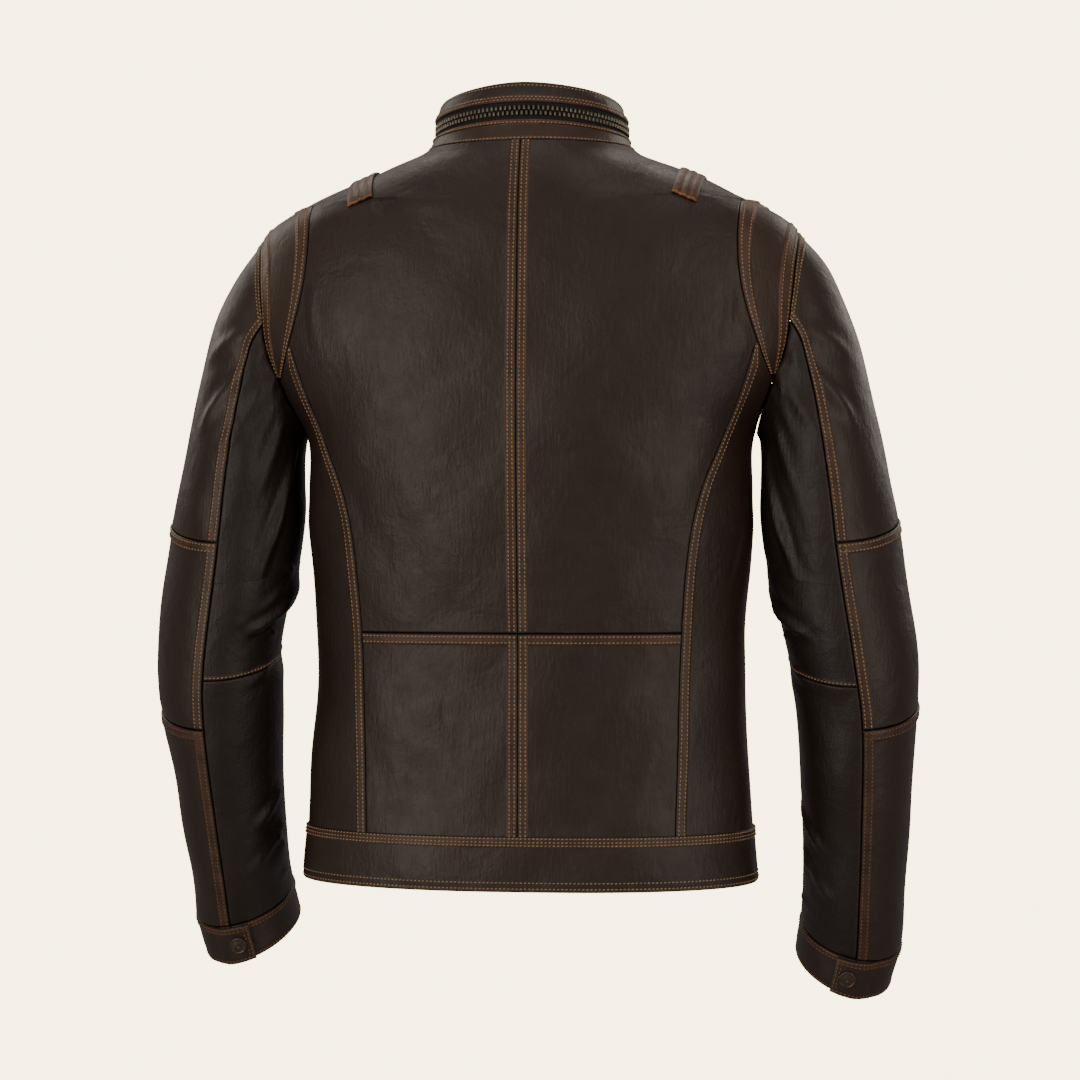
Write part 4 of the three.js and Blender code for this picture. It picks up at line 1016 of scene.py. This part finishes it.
# ---- Zips: antique brass teeth on black woven tape -----------------------------------------------
# Cast teeth, 4 mm apart on each row, clamped to the tape's cord; the rows mesh along the middle. The
# tape is sewn in behind the leather's edges.
TOOTH_PITCH = 4.0
brass, tree = new_material("antique brass, cast and darkened")
place = node(tree, "ShaderNodeTexCoord").outputs["Object"]
tarnish = node(tree, "ShaderNodeTexNoise", Vector=place, Scale=300.0, Detail=3.0)
tint = node(tree, "ShaderNodeMix", {"data_type": "RGBA"}, i0=tarnish.outputs["Fac"],
            i6=linear("#4c453b"), i7=linear("#988d7a"))
rough = node(tree, "ShaderNodeMapRange", Value=tarnish.outputs["Fac"], i3=0.3, i4=0.5)
metal = node(tree, "ShaderNodeBsdfPrincipled", i0=tint.outputs[2], Metallic=1.0, Roughness=rough.outputs[0])
node(tree, "ShaderNodeOutputMaterial", Surface=metal.outputs[0])

tape, tree = new_material("black polyester tape, woven")
place = node(tree, "ShaderNodeTexCoord").outputs["Object"]
weave = node(tree, "ShaderNodeTexWave", Vector=place, Scale=600.0, Distortion=1.0)
relief = node(tree, "ShaderNodeBump", Height=weave.outputs["Fac"], Strength=0.3, Distance=0.0002)
cloth = node(tree, "ShaderNodeBsdfPrincipled", i0=linear("#0d0b0a"), Roughness=0.8,
             Normal=relief.outputs[0])
node(tree, "ShaderNodeOutputMaterial", Surface=cloth.outputs[0])


def rounded(low, high, radius, around=16, rise=10):
    """Points and faces of a block with rounded edges: a ball's grid, its eighths pushed to the corners."""
    low, high = np.array(low, float) + radius, np.array(high, float) - radius
    turn = np.linspace(0, 2 * np.pi, around, endpoint=False) + np.pi / around
    tilt = np.linspace(-np.pi / 2, np.pi / 2, rise)
    ball = np.stack([np.cos(tilt)[:, None] * np.cos(turn), np.cos(tilt)[:, None] * np.sin(turn),
                     np.sin(tilt)[:, None] + 0 * turn], -1)
    corner = np.stack(np.broadcast_arrays(np.cos(turn) > 0, np.sin(turn) > 0, tilt[:, None] > 0), -1)
    points = np.where(corner, high, low) + radius * ball
    j, i = np.meshgrid(np.arange(rise - 1), np.arange(around), indexing="ij")
    n = (i + 1) % around
    faces = np.stack([j * around + i, j * around + n, (j + 1) * around + n, (j + 1) * around + i], -1)
    last = (rise - 1) * around + np.arange(around)
    points = points.reshape(-1, 3)
    middle = np.array([points[:around].mean(0), points[last].mean(0)])
    total = len(points)
    k = np.arange(around)
    bottom = np.stack([np.full(around, total), (k + 1) % around, k], -1)
    top = np.stack([np.full(around, total + 1), last, np.roll(last, -1)], -1)
    faces = faces.reshape(-1, 4)
    tri = np.concatenate([faces[:, [0, 1, 2]], faces[:, [0, 2, 3]], bottom, top])
    return np.concatenate([points, middle]), tri


def teeth(name, middle, along, up, material):
    """Two rows of meshed teeth. Each tooth is a rounded block, long across the zip, from just past the
    middle to the tape's cord; the rows are half a pitch apart."""
    block, tri = rounded((-1.35, 0.2, -0.6), (1.35, 4.3, 1.8), 1.05, 8, 6)
    along = along / np.linalg.norm(along, axis=1, keepdims=True)
    side = np.cross(up, along)
    points = []
    for row, start in ((1, 0), (-1, 1)):
        m, a, s, u = (x[start::2] for x in (middle, along, side, up))
        points.append(m[:, None] + block[None, :, :1] * a[:, None] + row * block[None, :, 1:2] * s[:, None]
                      + block[None, :, 2:] * u[:, None])
    mirrored = tri[:, ::-1]
    count = len(block)
    first = tri[None] + np.arange(len(points[0]))[:, None, None] * count
    second = mirrored[None] + (len(points[0]) + np.arange(len(points[1])))[:, None, None] * count
    points = np.concatenate([p.reshape(-1, 3) for p in points])
    faces = np.concatenate([first, second]).reshape(-1, 3)
    return make_object(name, points, faces, material)


def block_piece(name, parts, origin, axes, material):
    """Rounded blocks given as (low, high, radius) in a frame of three axes, joined into one object."""
    points, faces, start = [], [], 0
    for low, high, radius in parts:
        block, tri = rounded(low, high, radius)
        points.append(origin + block @ axes)
        faces.append(tri + start)
        start += len(block)
    return make_object(name, np.concatenate(points), np.concatenate(faces), material)


def slider_parts(half, face, thick, low, high):
    """A slider: a base, a crown above it and the bridge that holds the pull. y points into the body."""
    z = (low + high) / 2
    base = ((-half, face - thick * 0.55, low), (half, face, high), 0.5)
    crown = ((-half * 0.62, face - thick * 0.8, low + 1.2),
             (half * 0.62, face - thick * 0.4, high - 1.2), 0.4)
    bridge = ((-1.1, face - thick, z - 3.4), (1.1, face - thick * 0.5, z + 3.4), 0.4)
    return [base, crown, bridge]


def pull_parts(half, outer, inner, low, high):
    """A pull: a flat grip, and above it a narrower shank that hangs from the slider's bridge."""
    z = (high - low) * 0.45 + low
    return [((-half, outer, low), (half, inner, z), 0.5),
            ((-half * 0.55, outer, z - 1), (half * 0.55, inner, high), 0.5)]


# The collar's zip runs nearly all round the neck, just inside the bands.
chain_radius = COLLAR_RADIUS - COLLAR_THICK - 0.9
tape_radius = chain_radius + 2.0
reach = np.pi - math.asin(COLLAR_GAP / (COLLAR_RADIUS - COLLAR_THICK)) - 0.03
COLLAR_TAPE_HALF = 8.9


def collar_tape(place, share):
    """The tape behind the teeth, from its top edge (share 0) to its lower edge (share 1)."""
    angle = place * reach
    z = COLLAR_ZIP_Z - zip_fall(angle) + COLLAR_TAPE_HALF * (1 - 2 * share)
    return collar_point(angle, tape_radius, z)


TAPE_THICK = 0.7
strip = panel("tape_collar_zip", collar_tape, (0.0, 1.0), constant(-1.0), constant(1.0), (NONE,) * 4,
              tape, 1, thick=TAPE_THICK, step=3.5)
finish(strip, "root", "zip_brass")
count = int(2 * reach * chain_radius / (TOOTH_PITCH / 2))
angle = np.linspace(-reach + 0.01, reach - 0.01, count)
out = np.stack([np.sin(angle), np.cos(angle), 0 * angle], -1)
run = np.stack([np.cos(angle), -np.sin(angle), 0 * angle], -1)
fallen = COLLAR_ZIP_Z - zip_fall(angle)
row = teeth("brass_teeth_collar", collar_point(angle, tape_radius, fallen), run, out, brass)
finish(row, "root", "zip_brass", "collar_zip_chain")
SLIDER_ANGLE = 2.86
SLIDER_HALF, SLIDER_REACH, PULL_HALF = 4.5, 6, 3
COLLAR_FACE, COLLAR_SLIDER_THICK, FRONT_SLIDER_THICK = -1.95, 4.6, 2.2
out = np.array([math.sin(SLIDER_ANGLE), math.cos(SLIDER_ANGLE), 0])
axes = np.array([[out[1], -out[0], 0], -out, [0, 0, 1.0]])
anchor = collar_point(np.array(SLIDER_ANGLE), chain_radius, COLLAR_ZIP_Z)
# The collar's slider stands upright on the zip, and its pull hangs straight down.
body = slider_parts(SLIDER_HALF, COLLAR_FACE, COLLAR_SLIDER_THICK, -SLIDER_REACH, SLIDER_REACH)
slider = block_piece("brass_collar_slider", body, anchor, axes, brass)
finish(slider, "collar_slider", "zip_brass", "collar_zip_slider")
pull = block_piece("brass_collar_pull", pull_parts(PULL_HALF, -8.3, -6.9, -13, 0.4), anchor, axes, brass)
finish(pull, "collar_pull", "zip_brass", "collar_zip_pull")

# The front zip runs down the straight front line, sunk below the turned edges of the panels.
SINK, TAPE_REACH, ZIP_LENGTH = 2.3, 8.6, 647.0
SLIDER_START, PANEL_FACE, SLIDER_CLEAR = 10.0, 1.6, 0.35
tilt = -math.atan(FRONT_SLOPE)
zip_axes = np.array([[1, 0, 0], [0, math.cos(tilt), math.sin(tilt)], [0, -math.sin(tilt), math.cos(tilt)]])
zip_top = np.array([0, FRONT_TOP[0], FRONT_TOP[1]])
for word, side in SIDES:
    tape_block = ((0.3, SINK, -ZIP_LENGTH), (TAPE_REACH, SINK + TAPE_THICK, 0), 0.2)
    strip = block_piece(f"tape_front_zip_{word}", [tape_block], zip_top,
                        zip_axes * np.array([[side], [1], [1]]), tape)
    finish(strip, "root", "zip_brass", f"front_zip_stringer_{word}")
count = int(ZIP_LENGTH / (TOOTH_PITCH / 2))
place = np.linspace(-2, -ZIP_LENGTH + 2, count)[:, None]
row = teeth("brass_teeth_front", zip_top + place * zip_axes[2] + SINK * zip_axes[1],
            0 * place - zip_axes[2], 0 * place - zip_axes[1], brass)
finish(row, "root", "zip_brass")
anchor = np.array([0, FRONT_TOP[0] - FRONT_SLOPE * SLIDER_START, FRONT_TOP[1] - SLIDER_START])
face = SINK - PANEL_FACE - SLIDER_CLEAR
body = slider_parts(SLIDER_HALF, face, FRONT_SLIDER_THICK, -SLIDER_REACH, SLIDER_REACH)
slider = block_piece("brass_front_slider", body, anchor, zip_axes, brass)
finish(slider, "front_slider", "zip_brass", "front_zip_slider")
grip = pull_parts(PULL_HALF, face - 3.95, face - 2.55, -26, 0.4)
pull = block_piece("brass_front_pull", grip, anchor, zip_axes, brass)
finish(pull, "front_pull", "zip_brass", "front_zip_pull")

# ---- Hand pockets: a slanted zip in a leather welt on each front panel ---------------------------
# The welt is one frame of cowhide, its edges folded under, topstitched to the panel round the slot; the
# zip's tape lies behind it. Only the welt and the zip show.
POCKET_TOP, POCKET_END, POCKET_TOP_X, POCKET_END_X = 395.0, 540.7, 112.0, 142.0
POCKET_HALF, WELT_HALF, SLOT_HALF, WELT_MARGIN, POCKET_LIFT = 75.6, 9.0, 3.6, 6.0, 0.75
WELT_STITCH_ROW, WELT_CREST = 4, 5
POCKET_TAPE_HALF, POCKET_TAPE_END = 4.6, 76.0


def on_front(x, depth):
    """A point of the left front, at a distance from the centre line."""
    depth = np.array(depth)
    return body_skin(t_at(np.array(x), depth, True), depth)


def welt_grid(count=34):
    """A welt's ring of points: round the frame one way, over its folded edges the other. wide is how
    far in from the outer edge each line lies, and tall is its height."""
    side = np.linspace(-1, 1, count, endpoint=False)
    one = np.ones(count)
    x = np.concatenate([side, one, -side, -one])
    z = np.concatenate([-one, side, one, -side])
    wide = np.array([0, 0, 0.06, 0.16, 0.3, 0.5, 0.7, 0.84, 0.94, 1, 1])
    tall = np.array([-2.2, 0.2, 0.75, 1.05, 1.1, 1.2, 1.3, 1.2, 0.8, 0.2, -0.6])
    sx = WELT_HALF + (SLOT_HALF - WELT_HALF) * wide
    sz = POCKET_HALF + WELT_MARGIN * (1 - wide)
    return np.stack([x * sx[:, None], -tall[:, None] + 0 * x, z * sz[:, None]], -1)


for word, side in SIDES:
    flip = np.array([side, 1, 1])
    top = on_front(POCKET_TOP_X, POCKET_TOP) * flip
    end = on_front(POCKET_END_X, POCKET_END) * flip
    along = (top - end) / np.linalg.norm(top - end)
    x, depth = (POCKET_TOP_X + POCKET_END_X) / 2, (POCKET_TOP + POCKET_END) / 2
    out = np.cross(on_front(x - 1, depth) - on_front(x + 1, depth),
                   on_front(x, depth + 1) - on_front(x, depth - 1)) * flip
    out -= along * (out @ along)
    out /= np.linalg.norm(out)
    axes = np.array([np.cross(along, out), -out, along])
    origin = (top + end) / 2 + out * POCKET_LIFT
    grid = welt_grid()
    rows, wide = grid.shape[:2]
    points = origin + grid.reshape(-1, 3) @ axes
    j, i = np.meshgrid(np.arange(rows), np.arange(wide), indexing="ij")
    after, below = (i + 1) % wide, (j + 1) % rows
    faces = np.stack([j * wide + i, j * wide + after, below * wide + after, below * wide + i], -1)
    faces = faces.reshape(-1, 4)
    worn = np.exp(-((np.arange(rows) - WELT_CREST) / 4.0) ** 2)[:, None] * np.ones(wide)
    welt = make_object(f"leather_pocket_welt_{word}", points, faces, hide, wear=0.7 * worn.ravel())
    finish(welt, "root", "leather", f"pocket_welt_{word}")
    seam = grid[WELT_STITCH_ROW]
    line = origin + np.concatenate([seam, seam[:1]]) @ axes
    stitch(line, out + 0 * line, "root")
    tape_block = ((-POCKET_TAPE_HALF, 0.3, -POCKET_TAPE_END), (POCKET_TAPE_HALF, 1.0, POCKET_TAPE_END), 0.3)
    backing = block_piece(f"tape_pocket_zip_{word}", [tape_block], origin, axes, tape)
    finish(backing, "root", "zip_brass")
    count = int(2 * POCKET_HALF / (TOOTH_PITCH / 2))
    place = np.linspace(-POCKET_HALF + 2, POCKET_HALF - 2, count)[:, None]
    row = teeth(f"brass_teeth_pocket_{word}", origin + place * along, 0 * place + along, 0 * place + out,
                brass)
    finish(row, "root", "zip_brass", f"pocket_zip_chain_{word}")
    body = slider_parts(3.0, -1.75, 1.8, POCKET_HALF - 14, POCKET_HALF - 4)
    slider = block_piece(f"brass_pocket_slider_{word}", body, origin, axes, brass)
    finish(slider, f"pocket_slider_{word}", "zip_brass", f"pocket_zip_slider_{word}")
    grip = pull_parts(2.5, -5.3, -3.9, POCKET_HALF - 35, POCKET_HALF - 8.6)
    pull = block_piece(f"brass_pocket_pull_{word}", grip, origin, axes, brass)
    finish(pull, f"pocket_pull_{word}", "zip_brass", f"pocket_zip_pull_{word}")

# ---- Hanger loop: a flat leather strap inside the neck -------------------------------------------
# A 6 mm strip of cowhide with cut and waxed edges, both ends sewn in under the collar so that it bows
# into the neck.
LOOP_HALF, LOOP_WIDTH, LOOP_BOW = 35.0, 6.0, 8.0
LOOP_SEAT, LOOP_Z, LOOP_DROOP = 1.05, -3.6, 0.6
LOOP_EDGE = Seam(roll=0.5, groove=0.0)


def loop_skin(place, share):
    """The strap, bowed away from the neck between its sewn ends."""
    bow = LOOP_BOW * (1 - place ** 2)
    radius = COLLAR_RADIUS + LOOP_SEAT - bow
    z = LOOP_Z - bow * LOOP_DROOP + (1 - share) * LOOP_WIDTH
    return collar_point(place * LOOP_HALF / COLLAR_RADIUS, radius, z)


# The loop takes the darker copy of the hide, which is partly painted shade.
loop = panel("leather_hanger_loop", loop_skin, (0.0, 1.0), constant(-1.0), constant(1.0),
             (NONE, NONE, LOOP_EDGE, LOOP_EDGE), hide_dark_and_shaded, 1, thick=1.2, step=1.5)
finish(loop, "root", "dark_leather", "hanger_loop")

# ---- Lining: dark brown satin, cut like the jacket and set 7 mm inside it ------------------------
# Warp-faced weave with a soft lengthwise sheen; threads drawn at 1 mm, four times the real spacing.
LINING_DEPTH, LINING_THICK, LINING_TOP, LINING_STEP = 7.0, 0.8, 10.0, 9.0
SLEEVE_LINING_DEPTH, WRIST_TURN = 5.0, 2.1
SLEEVE_LININGS = (("upper", "shoulder", 0.05, 5.2), ("elbow", "elbow", 5.2, 7.4),
                  ("lower", "forearm", 7.4, 10.4))


def lining_t(depth, front=False):
    """The lining has no shoulder band: it runs to the armhole, then down the side seam."""
    return np.where(depth < ARM_HEIGHT - ARM_Z, armhole_t(depth, front), 0.5)


satin, tree = new_material("brown satin lining, woven")
place = node(tree, "ShaderNodeTexCoord").outputs["Object"]
weave = node(tree, "ShaderNodeTexWave", Vector=place, Scale=160.0, Distortion=0.6)
relief = node(tree, "ShaderNodeBump", Height=weave.outputs["Fac"], Strength=0.12, Distance=0.0002)
cloth = node(tree, "ShaderNodeBsdfPrincipled", i0=linear("#2a221d"), Roughness=0.42,
             Normal=relief.outputs[0])
cloth.inputs["Sheen Weight"].default_value = 0.3
node(tree, "ShaderNodeOutputMaterial", Surface=cloth.outputs[0])

def lining_side(depth):
    """The back lining's edge on the right, the mirror of the left one."""
    return -lining_t(depth)


def wrist_turn(degrees, place, d):
    """The sleeve lining comes out towards the leather at the wrist, where it is sewn to the cuff."""
    return WRIST_TURN * smooth(9, 10, place) + 0 * degrees


back = panel("satin_lining_back", body_skin, (LINING_TOP, BAND_SEAM), lining_side, lining_t, (NONE,) * 4,
             satin, 1, thick=LINING_THICK, lift=-LINING_DEPTH, step=LINING_STEP)
finish(back, "root", "lining", "lining_back")
for word, side in SIDES:
    skin = sleeve_on(side)
    half = panel(f"satin_lining_front_{word}", body_skin, (LINING_TOP, BAND_SEAM),
                 lambda q: lining_t(q, True), lambda q: t_at(ZIP_HALF_OPENING + 12, q, True), (NONE,) * 4,
                 satin, side, thick=LINING_THICK, lift=-LINING_DEPTH, step=LINING_STEP)
    finish(half, "root", "lining", f"lining_front_{word}")
    for name, joint, first, last in SLEEVE_LININGS:
        tube = panel(f"satin_sleeve_lining_{name}_{word}", skin, (first, last), constant(360.0),
                     constant(0.0), (NONE,) * 4, satin, side, thick=LINING_THICK,
                     lift=-SLEEVE_LINING_DEPTH, step=LINING_STEP, shape=wrist_turn)
        stands_for = [f"sleeve_lining_{word}"] if name == "upper" else []
        finish(tube, f"{joint}_{word}", "lining", *stands_for)

# ---- Topstitching: the stitches of every seam, one piece for each body ---------------------------
# Tan bonded thread in 3.5 mm stitches, pulled into the leather by the machine. On the forearms and
# cuffs, which are handled most, the thread has darkened.
for where in list(threads):
    handled = where.startswith(("forearm", "cuff"))
    sewn = sew_threads(where, f"topstitching_{where}", thread_dark if handled else thread)
    finish(sewn, where, "leather")
